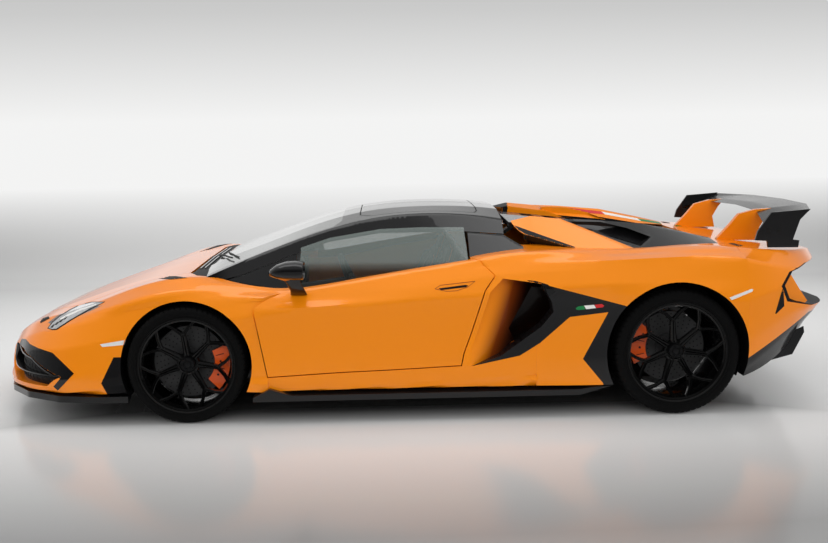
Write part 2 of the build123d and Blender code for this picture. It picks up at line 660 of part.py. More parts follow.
scoop = common(side_prism(SCOOP_OUTLINE, 600, 1300),
               plan_prism([(-300, 1002), (-560, 880), (-800, 745), (-800, 1300), (-300, 1300)], 200, 900))
duct = side_prism([(-700, 700), (-560, 480), (-600, 400), (-1000, 560), (-1000, 640)], 745, 905)
with BuildPart() as rear_fenders:
    add(rear_half)
    add(plan_prism([(-290, 846), (-640, 640), (-1862, 640), (-1862, 1300), (-290, 1300)], 50, 1200), mode=Mode.INTERSECT)
    add([rocker_region, blade_region, rear_vent_region, door_opening, scoop, duct, rear_well], mode=Mode.SUBTRACT)
    add([box((-486, -280), (600, 852), (100, 700)), box((-352, -280), (600, 872), (690, 1100)),
         box((-1900, -1835), (600, 1300), (100, 270))], mode=Mode.SUBTRACT)
    mirror(about=Plane.XZ)
write(rear_fenders, "rear_fenders")

blade = less(common(rear_half, blade_region), rear_well, rocker_region)
rear_vent = less(common(rear_half, rear_vent_region), rear_well)
sill_blade = less(side_prism(SILL_BLADE, 935, 1022), front_half, rear_half, rear_well)
with BuildPart() as side_trim:
    add([blade, rear_vent, sill_blade])
    mirror(about=Plane.XZ)
write(side_trim, "side_trim")

tail_inside = box((-2230, -1700), (-20, 620), (50, 840))
with BuildPart() as exhaust_bore:
    with BuildSketch(station_plane(EXHAUST_REAR_X - 100)):
        with Locations((EXHAUST_Y, EXHAUST_Z)):
            Circle(EXHAUST_R + SEAT_GAP)
    extrude(amount=EXHAUST_FRONT_X - EXHAUST_REAR_X + 160)
tail_block = less(tail_half, box((-1862, 2600), (640, 1300), (-100, 1400)), box((-1802, 2600), (-50, 641), (-100, 1400)),
                  tail_inside, rear_well, exhaust_bore.part)
tail_body = less(tail_block, diffuser_region, tail_panel_region)
with BuildPart() as rear_bumper:
    add(tail_body)
    mirror(about=Plane.XZ)
write(rear_bumper, "rear_bumper")

with BuildPart() as rear_grille:
    add(tail_block)
    add(tail_panel_region, mode=Mode.INTERSECT)
    add([tail_recess, diffuser_region], mode=Mode.SUBTRACT)
    mirror(about=Plane.XZ)
write(rear_grille, "rear_grille")

with BuildPart() as diffuser:
    add(tail_block)
    add(diffuser_region, mode=Mode.INTERSECT)
    mirror(about=Plane.XZ)
write(diffuser, "diffuser")

buttress_body = less(station_loft([buttress_section(row) for row in BUTTRESS_STATIONS], ruled=True),
                     less(rear_half, box((-700, 400), (-10, 1200), (0, 1200))), canopy_skin)
fin_region = side_prism(FIN_OUTLINE, 400, 1000)
with BuildPart() as buttresses:
    add(buttress_body)
    add([fin_region, less(side_prism(BUTTRESS_VENT_OUTLINE, 400, 1000),
                          buttress_body.moved(Location((0, -VENT_DEPTH, -VENT_DEPTH))))], mode=Mode.SUBTRACT)
    mirror(about=Plane.XZ)
write(buttresses, "buttresses")

with BuildPart() as roof_fins:
    add(buttress_body)
    add(fin_region, mode=Mode.INTERSECT)
    mirror(about=Plane.XZ)
write(roof_fins, "roof_fins")

# ------------------------------------------------------------------ engine lid, wing and exhaust
def lid_section(row, out=0.0):
    """Half section of the engine lid, moved up by a thickness."""
    x, half_width, top, edge = row
    return x, [(-MIRROR_LAP, edge - 200), (half_width, edge - 200), (half_width, edge + out), (-MIRROR_LAP, top + out)]


lid_above = common(station_loft([lid_section(row) for row in LID_STATIONS], ruled=True), left_side)
lid_below = station_loft([lid_section(row, -LID_T) for row in LID_STATIONS], ruled=True)
slot_pitch = (LID_FRONT_X - LID_REAR_X - 260) / SLOT_COUNT
with BuildPart() as engine_lid:
    add(lid_above)
    add(lid_below, mode=Mode.SUBTRACT)
    for slot in range(SLOT_COUNT):
        slot_x = LID_FRONT_X - 150 - slot * slot_pitch
        add(plan_prism([(slot_x, 60), (slot_x - 20, 360), (slot_x - slot_pitch + 50, 350), (slot_x - slot_pitch + 70, 60)],
                       700, 1200), mode=Mode.SUBTRACT)
    mirror(about=Plane.XZ)
    for slot in range(SLOT_COUNT):
        slot_x = LID_FRONT_X - 150 - slot * slot_pitch
        slat_z = 1004 - (LID_FRONT_X - slot_x) * 0.118
        with BuildSketch(side_plane(356)):
            with BuildLine():
                Polyline((slot_x + 8, slat_z + 14), (slot_x + 2, slat_z + 22), (slot_x - 96, slat_z - 22),
                         (slot_x - 90, slat_z - 30), close=True)
            make_face()
        extrude(amount=712)
    for hinge_y in (-HINGE_Y, HINGE_Y):
        with BuildSketch(side_plane(hinge_y + HINGE_EYE_W / 2)):
            with Locations((LID_HINGE_X, LID_HINGE_Z)):
                Circle(HINGE_EYE_R)
            with BuildLine():
                Polyline((LID_HINGE_X - 17, LID_HINGE_Z), (LID_HINGE_X - 40, LID_HINGE_Z + 26),
                         (LID_HINGE_X + 4, LID_HINGE_Z + 30), (LID_HINGE_X + 17, LID_HINGE_Z), close=True)
            make_face()
        extrude(amount=HINGE_EYE_W)
        with BuildSketch(side_plane(hinge_y + HINGE_EYE_W)):
            with Locations((LID_HINGE_X, LID_HINGE_Z)):
                Circle(HINGE_PIN_R + PIN_GAP)
        extrude(amount=2 * HINGE_EYE_W, mode=Mode.SUBTRACT)
write(engine_lid, "engine_lid")


def wing_section(row):
    """Side plane and blade outline of one wing station."""
    y, lead_x, lead_z, trail_x, trail_z, thick = row
    chord = lead_x - trail_x
    return y, [(lead_x, lead_z), (lead_x - 0.3 * chord, lead_z + 0.15 * (trail_z - lead_z) + thick / 2),
               (trail_x, trail_z), (trail_x, trail_z - 6),
               (lead_x - 0.35 * chord, lead_z + 0.15 * (trail_z - lead_z) - thick / 2)]


with BuildPart() as wing:
    for row in WING_STATIONS:
        section_y, points = wing_section(row)
        with BuildSketch(side_plane(section_y)):
            with BuildLine():
                Polyline(*points, close=True)
            make_face()
    loft(ruled=True)
    with BuildSketch(side_plane(778)):
        with BuildLine():
            Polyline(*WING_ENDPLATE, close=True)
        make_face()
    extrude(amount=14)
    mirror(about=Plane.XZ)
write(wing, "wing")

with BuildPart() as wing_pylons:
    with BuildSketch(side_plane(436)):
        with BuildLine():
            Polyline(*PYLON_SIDE, close=True)
        make_face()
    extrude(amount=34)
    add([wing.part, tail_body, less(rear_half, box((-3000, -1700), (-1, 5), (0, 5)))], mode=Mode.SUBTRACT)
    mirror(about=Plane.XZ)
write(wing_pylons, "wing_pylons")

with BuildPart() as exhaust_tips:
    with BuildSketch(station_plane(EXHAUST_REAR_X)):
        with Locations((EXHAUST_Y, EXHAUST_Z), (-EXHAUST_Y, EXHAUST_Z)):
            Circle(EXHAUST_R)
            Circle(EXHAUST_R - EXHAUST_WALL, mode=Mode.SUBTRACT)
    extrude(amount=EXHAUST_FRONT_X - EXHAUST_REAR_X)
write(exhaust_tips, "exhaust_tips")

with BuildPart() as tail_lamps:
    with BuildSketch(station_plane(-2380)):
        with BuildLine():
            Polyline((300, 668), (560, 690), (860, 752), (850, 722), (600, 660), (520, 600), (490, 600), (520, 655),
                     (300, 640), close=True)
        make_face()
    extrude(amount=400)
    add([rear_grille.part, tail_body], mode=Mode.SUBTRACT)
    add(tail_block.moved(Location((LAMP_INSET, 0, 0))), mode=Mode.INTERSECT)
    mirror(about=Plane.XZ)
write(tail_lamps, "tail_lamps")

# ------------------------------------------------------------------ tub, floor, engine and cabin
with BuildPart() as underfloor:
    add(plan_prism(FLOOR_PLAN, FLOOR_BOTTOM_Z, FLOOR_TOP_Z))
    mirror(about=Plane.XZ)
    with BuildSketch(Plane.XY.offset(FLOOR_BOTTOM_Z)):
        with Locations(*((x, 0) for x in TIE_DOWN_X)):
            Circle(TIE_DOWN_R)
    extrude(amount=FLOOR_T, mode=Mode.SUBTRACT)
write(underfloor, "underfloor")

lid_ears = hinge_ears(LID_HINGE_X, LID_HINGE_Z, [
    (LID_HINGE_X + 7, LID_HINGE_Z + 6), (LID_HINGE_X - 7, LID_HINGE_Z - 10),
    (TUB_REAR_X + 4, BULKHEAD_TOP_Z - 30), (TUB_REAR_X + 4, BULKHEAD_TOP_Z - 1)])
with BuildPart() as chassis_tub:
    add(box((TUB_REAR_X, TUB_WIDE_FRONT_X), (-10, TUB_HALF_WIDTH), (FLOOR_TOP_Z, SILL_TOP_Z)))
    add(box((TUB_WIDE_FRONT_X - 100, TUB_FRONT_X), (-10, FOOTWELL_HALF_WIDTH), (FLOOR_TOP_Z, FOOTWELL_TOP_Z)))
    add(box((TUB_REAR_X, TUB_REAR_X + TUB_WALL), (-10, SILL_INNER_Y), (FLOOR_TOP_Z, BULKHEAD_TOP_Z)))
    add(box((TUB_WIDE_FRONT_X - 116, TUB_WIDE_FRONT_X), (SILL_INNER_Y, TUB_HALF_WIDTH - 4), (SILL_TOP_Z - 5, 700)))
    add([box((TUB_REAR_X + TUB_WALL, TUB_WIDE_FRONT_X - 4), (-20, SILL_INNER_Y), (FLOOR_TOP_Z + TUB_WALL, SILL_TOP_Z + 10)),
         box((TUB_WIDE_FRONT_X - 210, TUB_FRONT_X - TUB_WALL), (-20, FOOTWELL_HALF_WIDTH - TUB_WALL),
             (FLOOR_TOP_Z + TUB_WALL, FOOTWELL_TOP_Z - 30))], mode=Mode.SUBTRACT)
    add(box((TUB_FRONT_X, SUBFRAME_FRONT_X), (-10, FOOTWELL_HALF_WIDTH), (FLOOR_TOP_Z, SUBFRAME_TOP_Z)))
    for stop_x in DOOR_STOP_X:
        add(box((stop_x - 20, stop_x + 20), (TUB_HALF_WIDTH - 1, DOOR_INNER_Y - SEAT_GAP), (SILL_TOP_Z - 50, SILL_TOP_Z)))
    mirror(about=Plane.XZ)
    add(lid_ears)
write(chassis_tub, "chassis_tub")

with BuildPart() as luggage_tub:
    add(front_half.moved(Location((0, 0, -BONNET_T - 16))))
    add(box((1330, 2000), (-10, 480), (FLOOR_TOP_Z, 900)), mode=Mode.INTERSECT)
    add(box((1346, 1984), (-20, 464), (FLOOR_TOP_Z + 70, 1000)), mode=Mode.SUBTRACT)
    add(box((1600, 2100), (-20, 600), (0, BODY_BOTTOM_Z)), mode=Mode.SUBTRACT)
    mirror(about=Plane.XZ)
write(luggage_tub, "luggage_tub")

with BuildPart() as dashboard:
    add(side_prism(DASH_SIDE, -680, 680))
    add(side_prism([(690, FLOOR_TOP_Z + TUB_WALL), (700, 600), (560, 500), (100, 400), (-438, 400),
                    (-438, FLOOR_TOP_Z + TUB_WALL)], -110, 110))
    add(chassis_tub.part, mode=Mode.SUBTRACT)
write(dashboard, "dashboard")

with BuildPart() as seats:
    add(side_prism(SEAT_SIDE, SEAT_Y - SEAT_HALF_W, SEAT_Y + SEAT_HALF_W))
    add(side_prism([(600, 800), (600, 300), (60, 250), (-60, 262), (-60, 800)],
                   SEAT_Y - SEAT_HALF_W + SEAT_BOLSTER, SEAT_Y + SEAT_HALF_W - SEAT_BOLSTER), mode=Mode.SUBTRACT)
    add(side_prism([(470, FLOOR_TOP_Z + TUB_WALL), (470, 300), (60, 262), (-60, 270), (-250, 250),
                    (-250, FLOOR_TOP_Z + TUB_WALL)],
                   SEAT_Y - SEAT_HALF_W + SEAT_BOLSTER, SEAT_Y + SEAT_HALF_W - SEAT_BOLSTER))
    mirror(about=Plane.XZ)
write(seats, "seats")

with BuildPart() as steering_wheel:
    with BuildSketch(Plane(origin=WHEEL_CENTRE, x_dir=(0, 1, 0), z_dir=(cos(radians(22)), 0, -sin(radians(22))))) as rim_face:
        Circle(STEERING_R)
        Circle(STEERING_R - 2 * GRIP_R, mode=Mode.SUBTRACT)
        Rectangle(2 * STEERING_R - 2 * GRIP_R, 34)
        with Locations((0, -STEERING_R / 2)):
            Rectangle(46, STEERING_R - GRIP_R)
        Circle(56)
    extrude(amount=GRIP_R, both=True)
    with BuildSketch(Plane(origin=WHEEL_CENTRE, x_dir=(0, 1, 0), z_dir=(cos(radians(-8)), 0, sin(radians(8))))):
        Circle(34)
    extrude(amount=500)
    add(dashboard.part, mode=Mode.SUBTRACT)
    add(box((720, 1400), (0, 700), (400, 1200)), mode=Mode.SUBTRACT)
write(steering_wheel, "steering_wheel")

with BuildPart() as engine_block:
    add(box((-1330, -560), (-260, 260), (FLOOR_TOP_Z, 520)))
    add(side_prism([(-1290, 520), (-1270, 800), (-640, 800), (-600, 520)], -330, 330))
write(engine_block, "engine_block")

# ------------------------------------------------------------------ wheels, brakes and suspension
for axle, axle_x, tyre_r, tyre_w, rim_r, track in WHEELS:
    centre_y = track / 2
    half_w = tyre_w / 2
    rim_w = half_w - 8
    profile = wheel_profile_plane(axle_x, tyre_r, centre_y)
    face = wheel_plane(axle_x, tyre_r, centre_y)
    with BuildPart() as tyre:
        with BuildSketch(profile):
            with BuildLine():
                Polyline((-half_w + 12, rim_r + SEAT_GAP), (-half_w, rim_r + 22), (-half_w + 4, tyre_r - 26),
                         (-half_w + 24, tyre_r - 5), (-half_w + 60, tyre_r), (half_w - 60, tyre_r),
                         (half_w - 24, tyre_r - 5), (half_w - 4, tyre_r - 26), (half_w, rim_r + 22),
                         (half_w - 12, rim_r + SEAT_GAP), close=True)
            make_face()
        revolve(axis=Axis(profile.origin, profile.x_dir), revolution_arc=360)
    barrel = turned(profile, [(-rim_w, rim_r - BARREL_T), (-rim_w, rim_r), (rim_w, rim_r), (rim_w, rim_r - BARREL_T),
                              (rim_w - 18, rim_r - BARREL_T - 14), (-rim_w + 20, rim_r - BARREL_T - 14)])
    hub_low = HAT_FACE = 8.0
    spoke_zone = turned(profile, [(hub_low, 0), (hub_low, HUB_R), (rim_w - 62, HUB_R + 60), (rim_w - 34, rim_r - BARREL_T - 8),
                                  (rim_w - 6, rim_r - BARREL_T - 8), (rim_w - 40, HUB_R + 40), (rim_w - 56, HUB_R - 10),
                                  (rim_w - 56, 0)])
    with BuildPart() as rim:
        with BuildSketch(Plane(origin=profile.origin, x_dir=face.x_dir, z_dir=face.z_dir)):
            Circle(HUB_R)
            split_r = SPOKE_SPLIT * rim_r
            outer_r = rim_r - BARREL_T
            for spoke in range(SPOKE_COUNT):
                angle = SPOKE_START_DEG + spoke * 360 / SPOKE_COUNT
                with Locations(Rot(0, 0, angle) * Pos(split_r / 2, 0)):
                    Rectangle(split_r, SPOKE_W)
                for side in (-1, 1):
                    lean = side * SPOKE_SPREAD_DEG
                    end_x = outer_r * cos(radians(lean)) - split_r
                    end_y = outer_r * sin(radians(lean))
                    reach = (end_x ** 2 + end_y ** 2) ** 0.5
                    tilt = side * degrees(atan2(abs(end_y), end_x))
                    with Locations(Rot(0, 0, angle) * Pos(split_r - 10, 0) * Rot(0, 0, tilt) * Pos((reach + 10) / 2, 0)):
                        Rectangle(reach + 10, SPOKE_ARM_W)
        extrude(amount=rim_w + 5)
        add(spoke_zone, mode=Mode.INTERSECT)
        add(barrel)
        add(drum(profile, NUT_R, rim_w - 57, rim_w - 30))
        add(drum(profile, SPINDLE_R + PIN_GAP, 0, 40), mode=Mode.SUBTRACT)
    with BuildPart() as disc:
        add(ring(profile, DISC_R, HAT_R - 8, DISC_LATERAL - DISC_T / 2, DISC_LATERAL + DISC_T / 2))
        add(ring(profile, HAT_R, SPINDLE_R + PIN_GAP, DISC_LATERAL, hub_low))
    for label, piece in (("tyre", tyre), ("rim", rim), ("brake_disc", disc)):
        write(piece, f"{label}_{axle}_left")
        with BuildPart() as twin:
            add(mirrored(piece.part))
        write(twin, f"{label}_{axle}_right")


def calliper(axle_x, tyre_r, centre_y, angles):
    """Brake calliper over the edge of a left disc, between two angles of the wheel plane."""
    low = DISC_LATERAL - CALLIPER_HALF_W
    start, end = (radians(angle) for angle in angles)
    middle = (start + end) / 2
    far = 2 * CALLIPER_OUTER_R
    with BuildPart() as body:
        with BuildSketch(wheel_plane(axle_x, tyre_r, centre_y + low)):
            Circle(CALLIPER_OUTER_R)
            Circle(CALLIPER_INNER_R, mode=Mode.SUBTRACT)
            with BuildLine():
                Polyline((0, 0), (far * cos(start), far * sin(start)), (far * cos(middle), far * sin(middle)),
                         (far * cos(end), far * sin(end)), close=True)
            make_face(mode=Mode.INTERSECT)
        extrude(amount=2 * CALLIPER_HALF_W)
        add(drum(wheel_profile_plane(axle_x, tyre_r, centre_y), DISC_R + CALLIPER_GAP,
                 DISC_LATERAL - DISC_T / 2 - CALLIPER_GAP, DISC_LATERAL + DISC_T / 2 + CALLIPER_GAP),
            mode=Mode.SUBTRACT)
    return body.part


def upright(axle_x, tyre_r, centre_y, angles):
    """Left upright with its spindle, kingpin stubs and calliper bracket."""
    kingpin_y = centre_y - KINGPIN_INSET
    low = -KINGPIN_INSET - UPRIGHT_T / 2
    high = -KINGPIN_INSET + UPRIGHT_T / 2 - 6
    bracket = radians(sum(angles) / 2)
    reach = CALLIPER_INNER_R + 12
    with BuildPart() as body:
        with BuildSketch(wheel_plane(axle_x, tyre_r, centre_y + low)):
            Rectangle(64, 2 * KINGPIN_Z)
            Circle(58)
            with Locations(Rot(0, 0, degrees(bracket)) * Pos(reach / 2, 0)):
                Rectangle(reach, 70)
        extrude(amount=high - low)
        add(drum(wheel_profile_plane(axle_x, tyre_r, centre_y), SPINDLE_R, high - 1, 38))
        with BuildSketch(Plane.XY.offset(tyre_r - KINGPIN_Z - EYE_T)):
            with Locations((axle_x, kingpin_y)):
                Circle(KINGPIN_R)
        extrude(amount=2 * (KINGPIN_Z + EYE_T))
    return body.part


def wishbones(axle_x, tyre_r, centre_y, inner_y):
    """Upper and lower left wishbones, from the kingpin's eyes to the frame."""
    kingpin_y = centre_y - KINGPIN_INSET
    levels = (tyre_r + KINGPIN_Z + SEAT_GAP, tyre_r - KINGPIN_Z - SEAT_GAP - EYE_T)
    with BuildPart() as body:
        for level in levels:
            with BuildSketch(Plane.XY.offset(level)):
                with BuildLine():
                    Polyline((axle_x - EYE_R, kingpin_y), (axle_x + EYE_R, kingpin_y),
                             (axle_x + WISHBONE_BASE, inner_y), (axle_x - WISHBONE_BASE, inner_y), close=True)
                make_face()
                with BuildLine():
                    Polyline((axle_x, kingpin_y - 2 * EYE_R), (axle_x + WISHBONE_BASE - WISHBONE_WEB, inner_y - 1),
                             (axle_x - WISHBONE_BASE + WISHBONE_WEB, inner_y - 1), close=True)
                make_face(mode=Mode.SUBTRACT)
                with Locations((axle_x, kingpin_y)):
                    Circle(EYE_R)
                    Circle(KINGPIN_R + PIN_GAP, mode=Mode.SUBTRACT)
            extrude(amount=EYE_T - 2)
    return body.part


FRONT_CORNER = (FRONT_AXLE_X, FRONT_TYRE_R, FRONT_TRACK / 2)
REAR_CORNER = (REAR_AXLE_X, REAR_TYRE_R, REAR_TRACK / 2)
with BuildPart() as front_calliper:
    add(calliper(*FRONT_CORNER, FRONT_CALLIPER_DEG))
with BuildPart() as knuckle:
    add(upright(*FRONT_CORNER, FRONT_CALLIPER_DEG))
    add(front_calliper.part, mode=Mode.SUBTRACT)
for piece, label in ((front_calliper, "calliper_front"), (knuckle, "knuckle_front")):
    write(piece, f"{label}_left")
    with BuildPart() as twin:
        add(mirrored(piece.part))
    write(twin, f"{label}_right")

with BuildPart() as rear_callipers:
    add(calliper(*REAR_CORNER, REAR_CALLIPER_DEG))
    mirror(about=Plane.XZ)
write(rear_callipers, "rear_callipers")

with BuildPart() as front_suspension:
    add(wishbones(*FRONT_CORNER, FOOTWELL_HALF_WIDTH))
    mirror(about=Plane.XZ)
write(front_suspension, "front_suspension")

with BuildPart() as rear_suspension:
    add(wishbones(*REAR_CORNER, GEARBOX_HALF_WIDTH))
    add(upright(*REAR_CORNER, REAR_CALLIPER_DEG))
    add(drum(wheel_profile_plane(*REAR_CORNER), 17, GEARBOX_HALF_WIDTH - REAR_TRACK / 2, -KINGPIN_INSET))
    add(rear_callipers.part, mode=Mode.SUBTRACT)
    mirror(about=Plane.XZ)
    add(box(GEARBOX_X, (-GEARBOX_HALF_WIDTH, GEARBOX_HALF_WIDTH), (FLOOR_TOP_Z, GEARBOX_TOP_Z)))
write(rear_suspension, "rear_suspension")
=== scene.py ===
"""Looks for the mid-engined supercar: paint, carbon fibre, glass, wheels, lamps, trim and cabin, in a white studio."""
import json
from math import copysign, cos, exp, pi, radians, sin

import bmesh
import bpy
from mathutils import Matrix, Vector
from mathutils.bvhtree import BVHTree
from mathutils.kdtree import KDTree


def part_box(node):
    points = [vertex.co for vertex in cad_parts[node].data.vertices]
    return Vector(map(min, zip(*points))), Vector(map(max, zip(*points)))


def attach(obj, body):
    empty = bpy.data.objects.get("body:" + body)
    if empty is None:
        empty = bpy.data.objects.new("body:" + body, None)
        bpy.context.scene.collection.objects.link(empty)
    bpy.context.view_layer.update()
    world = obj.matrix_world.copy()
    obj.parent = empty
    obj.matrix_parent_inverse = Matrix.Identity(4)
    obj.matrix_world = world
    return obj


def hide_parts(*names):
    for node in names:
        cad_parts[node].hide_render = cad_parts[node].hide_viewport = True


# --- camera, lamps and frame
CAMERA_PLACE = Vector((0.1318, 6.2131, 1.5747))
CAMERA_YAW, CAMERA_PITCH, CAMERA_ROLL = 0.0313, 0.1421, -0.0146
CAMERA_LENS_MM, SENSOR_MM = 42.32, 36.0
PHOTO_WIDE, PHOTO_HIGH = 828, 543
WORLD_LEVEL = 0.62
# Lamp, place, turn in degrees, size, watts, and whether gloss shows it.
LAMPS = (("softbox_top", (0, -0.1, 5), (0, 0, 0), (8, 2.2), 80, True),
         ("fill_top", (0, 0.3, 5), (0, 0, 0), (8, 2.6), 120, False),
         ("fill_left", (0, 8.5, 3.4), (-70, 0, 0), (12, 3), 330, False),
         ("fill_right", (0, -6.5, 3.4), (70, 0, 0), (12, 3), 120, False),
         ("fill_nose", (8, 2, 3), (0, 70, 0), (3, 5), 120, False),
         ("fill_tail", (-8, 2, 3), (0, -70, 0), (3, 5), 120, False))
SIDES = (("left", 1), ("right", -1))
AXLES = {"front": (1.2215, 0.327), "rear": (-1.4785, 0.352)}  # x and z

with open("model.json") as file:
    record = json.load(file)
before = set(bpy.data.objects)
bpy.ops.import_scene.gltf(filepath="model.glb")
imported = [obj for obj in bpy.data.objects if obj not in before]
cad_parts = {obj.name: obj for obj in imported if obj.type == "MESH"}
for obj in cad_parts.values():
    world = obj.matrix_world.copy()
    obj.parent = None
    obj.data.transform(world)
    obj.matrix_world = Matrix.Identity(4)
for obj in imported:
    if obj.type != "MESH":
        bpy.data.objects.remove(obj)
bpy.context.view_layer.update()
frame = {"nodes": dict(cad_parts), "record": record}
nodes = frame["nodes"]
NODE_SLOT = {part["node"]: part["material_slot"] for part in frame["record"]["subparts"]}
NODE_BODY = {node: body for body, members in frame["record"]["behaviour"]["bodies"].items() for node in members}


# --- materials
class Nodes:
    """A node tree with short helpers. A value is a number or another node's output."""

    def __init__(self, tree):
        self.tree = tree

    def put(self, value, socket):
        if hasattr(value, "is_output"):
            self.tree.links.new(value, socket)
        else:
            socket.default_value = value

    def node(self, kind, **settings):
        made = self.tree.nodes.new("ShaderNode" + kind)
        for key, value in settings.items():
            if key in made.inputs:
                made.inputs[key].default_value = value
            else:
                setattr(made, key, value)
        return made

    def split(self, vector):
        """The x, y and z of a vector."""
        made = self.node("SeparateXYZ")
        self.put(vector, made.inputs["Vector"])
        return tuple(made.outputs)

    def span(self, value, low=0.0, high=1.0, to_low=0.0, to_high=1.0, smooth=False):
        """Takes low to to_low and high to to_high, and holds both ends."""
        made = self.node("MapRange", interpolation_type="SMOOTHSTEP" if smooth else "LINEAR")
        for socket, number in zip(("Value", "From Min", "From Max", "To Min", "To Max"),
                                  (value, low, high, to_low, to_high)):
            self.put(number, made.inputs[socket])
        return made.outputs["Result"]

    def ramp(self, value, *stops):
        """Colour ramp. stops are (position, colour)."""
        made = self.node("ValToRGB")
        elements = made.color_ramp.elements
        while len(elements) < len(stops):
            elements.new(0.5)
        for element, (position, colour) in zip(elements, stops):
            element.position = position
            element.color = (*colour, 1)
        self.put(value, made.inputs["Fac"])
        return made.outputs["Color"]

    def greys(self, value, low, high, *stops):
        """A grey that follows value from low to high. stops are (position, level)."""
        return self.ramp(self.span(value, low, high), *((position, grey(level)) for position, level in stops))

    def mix(self, share, first, second, mode="MIX"):
        made = self.node("MixRGB", blend_type=mode)
        for value, socket in zip((share, first, second), made.inputs):
            self.put(value, socket)
        return made.outputs["Color"]

    def math(self, operation, first, second=0.0):
        made = self.node("Math", operation=operation)
        self.put(first, made.inputs[0])
        self.put(second, made.inputs[1])
        return made.outputs[0]

    def add(self, first, second):
        return self.math("ADD", first, second)

    def less(self, first, second):
        return self.math("SUBTRACT", first, second)

    def times(self, first, second):
        return self.math("MULTIPLY", first, second)

    def squares(self, first, *more):
        """The sum of squares."""
        return self.add(self.times(first, first), self.squares(*more)) if more else self.times(first, first)


class Shader(Nodes):
    """A principled material with short helpers for its procedural nodes."""

    def __init__(self, name, base, roughness, metallic=0.0, **sockets):
        self.material = bpy.data.materials.new(name)
        self.material.use_nodes = True
        super().__init__(self.material.node_tree)
        self.bsdf = self.tree.nodes["Principled BSDF"]
        sockets.update(Base_Color=(*base, 1), Roughness=roughness, Metallic=metallic)
        for socket, value in sockets.items():
            self.set(socket, value)

    def set(self, socket, value):
        self.put(value, self.bsdf.inputs[socket.replace("_", " ")])

    def place(self, scale=(1, 1, 1), turn=(0, 0, 0)):
        """Object coordinates, scaled and turned."""
        mapping = self.node("Mapping", Scale=scale, Rotation=turn)
        self.put(self.node("TexCoord").outputs["Object"], mapping.inputs["Vector"])
        return mapping.outputs["Vector"]

    def texture(self, kind, output, where=None, **settings):
        made = self.node("Tex" + kind, **settings)
        self.put(where or self.place(), made.inputs["Vector"])
        return made.outputs[output]

    def noise(self, scale, detail=2.0):
        return self.texture("Noise", "Fac", Scale=scale, Detail=detail)

    def rough(self, value, low, high):
        """Roughness that varies between low and high with value."""
        self.set("Roughness", self.span(value, to_low=low, to_high=high))

    def bump(self, height, strength, distance=0.0004):
        made = self.node("Bump", Strength=strength, Distance=distance)
        self.put(height, made.inputs["Height"])
        self.set("Normal", made.outputs["Normal"])

    def colour(self, value, *stops):
        self.set("Base_Color", self.ramp(value, *stops))


def grey(level):
    return (level, level, level * 0.995)


def finish(name, base, roughness, metallic=0.0, gloss=None, grain=None, **sockets):
    """A simple finish. gloss: scale, detail, low and high of its noise; grain: scale, detail, strength and height."""
    s = Shader(name, base, roughness, metallic, **sockets)
    if gloss:
        s.rough(s.noise(*gloss[:2]), *gloss[2:])
    if grain:
        s.bump(s.noise(*grain[:2]), *grain[2:])
    return s.material


def plain(name, colour, roughness=0.5, grain=400, strength=0.06, **sockets):
    """A finish with fine grain and slight changes of gloss."""
    return finish(name, colour, roughness, gloss=(30, 3, max(roughness - 0.06, 0.02), roughness + 0.06),
                  grain=(grain, 2, strength), **sockets)


ORANGE = (0.97, 0.275, 0.003)
BLACK = (0.004, 0.004, 0.0045)
TOW = 0.0022
# Heights where the side glass is clear, and where its painted pale reflection is full.
GLASS_CLEAR_Z, GLASS_REFLECTION_Z = 0.800, 0.865
HOLES_ROUND, HOLES_FROM, HOLE_ROW = 30, 0.112, 0.021
BLUED_END, BLUED_START = -2.46, -2.30
# Painted shade in the side intake: how far it leans with z, and the slanted x where it is dark and where it is light.
SCOOP_SLANT, SCOOP_DARK, SCOOP_LIGHT = 0.35, -0.440, -0.225


def orange_paint():
    """Three-layer orange: flakes under a clear coat, deeper at grazing angles."""
    s = Shader("orange_paint", ORANGE, 0.34, 0.15, Coat_Weight=0.8, Coat_Roughness=0.035, Coat_IOR=1.45,
               Specular_IOR_Level=0.25)
    s.colour(s.node("LayerWeight", Blend=0.25).outputs["Facing"],
             (0, ORANGE), (0.7, (0.90, 0.225, 0.002)), (1, (0.70, 0.105, 0.002)))
    s.bump(s.noise(2600, 1), 0.03)
    s.rough(s.noise(3), 0.30, 0.38)
    return s.material


def carbon():
    """Twill weave under lacquer."""
    s = Shader("carbon_fibre", (0.006, 0.006, 0.007), 0.35, Coat_Weight=0.6, Coat_Roughness=0.05,
               Specular_IOR_Level=0.2)
    x, y, z = s.split(s.place(turn=(0, 0, radians(45))))
    across, along = s.math("DIVIDE", s.add(x, z), TOW), s.math("DIVIDE", s.add(y, s.times(z, 0.6)), TOW)
    step = s.add(s.math("FLOOR", across), s.math("FLOOR", along))
    over = s.math("LESS_THAN", s.math("FLOORED_MODULO", step, 4), 2)
    s.colour(over, (0, (0.002, 0.002, 0.0025)), (1, (0.011, 0.011, 0.012)))
    s.rough(over, 0.28, 0.5)
    return s.material


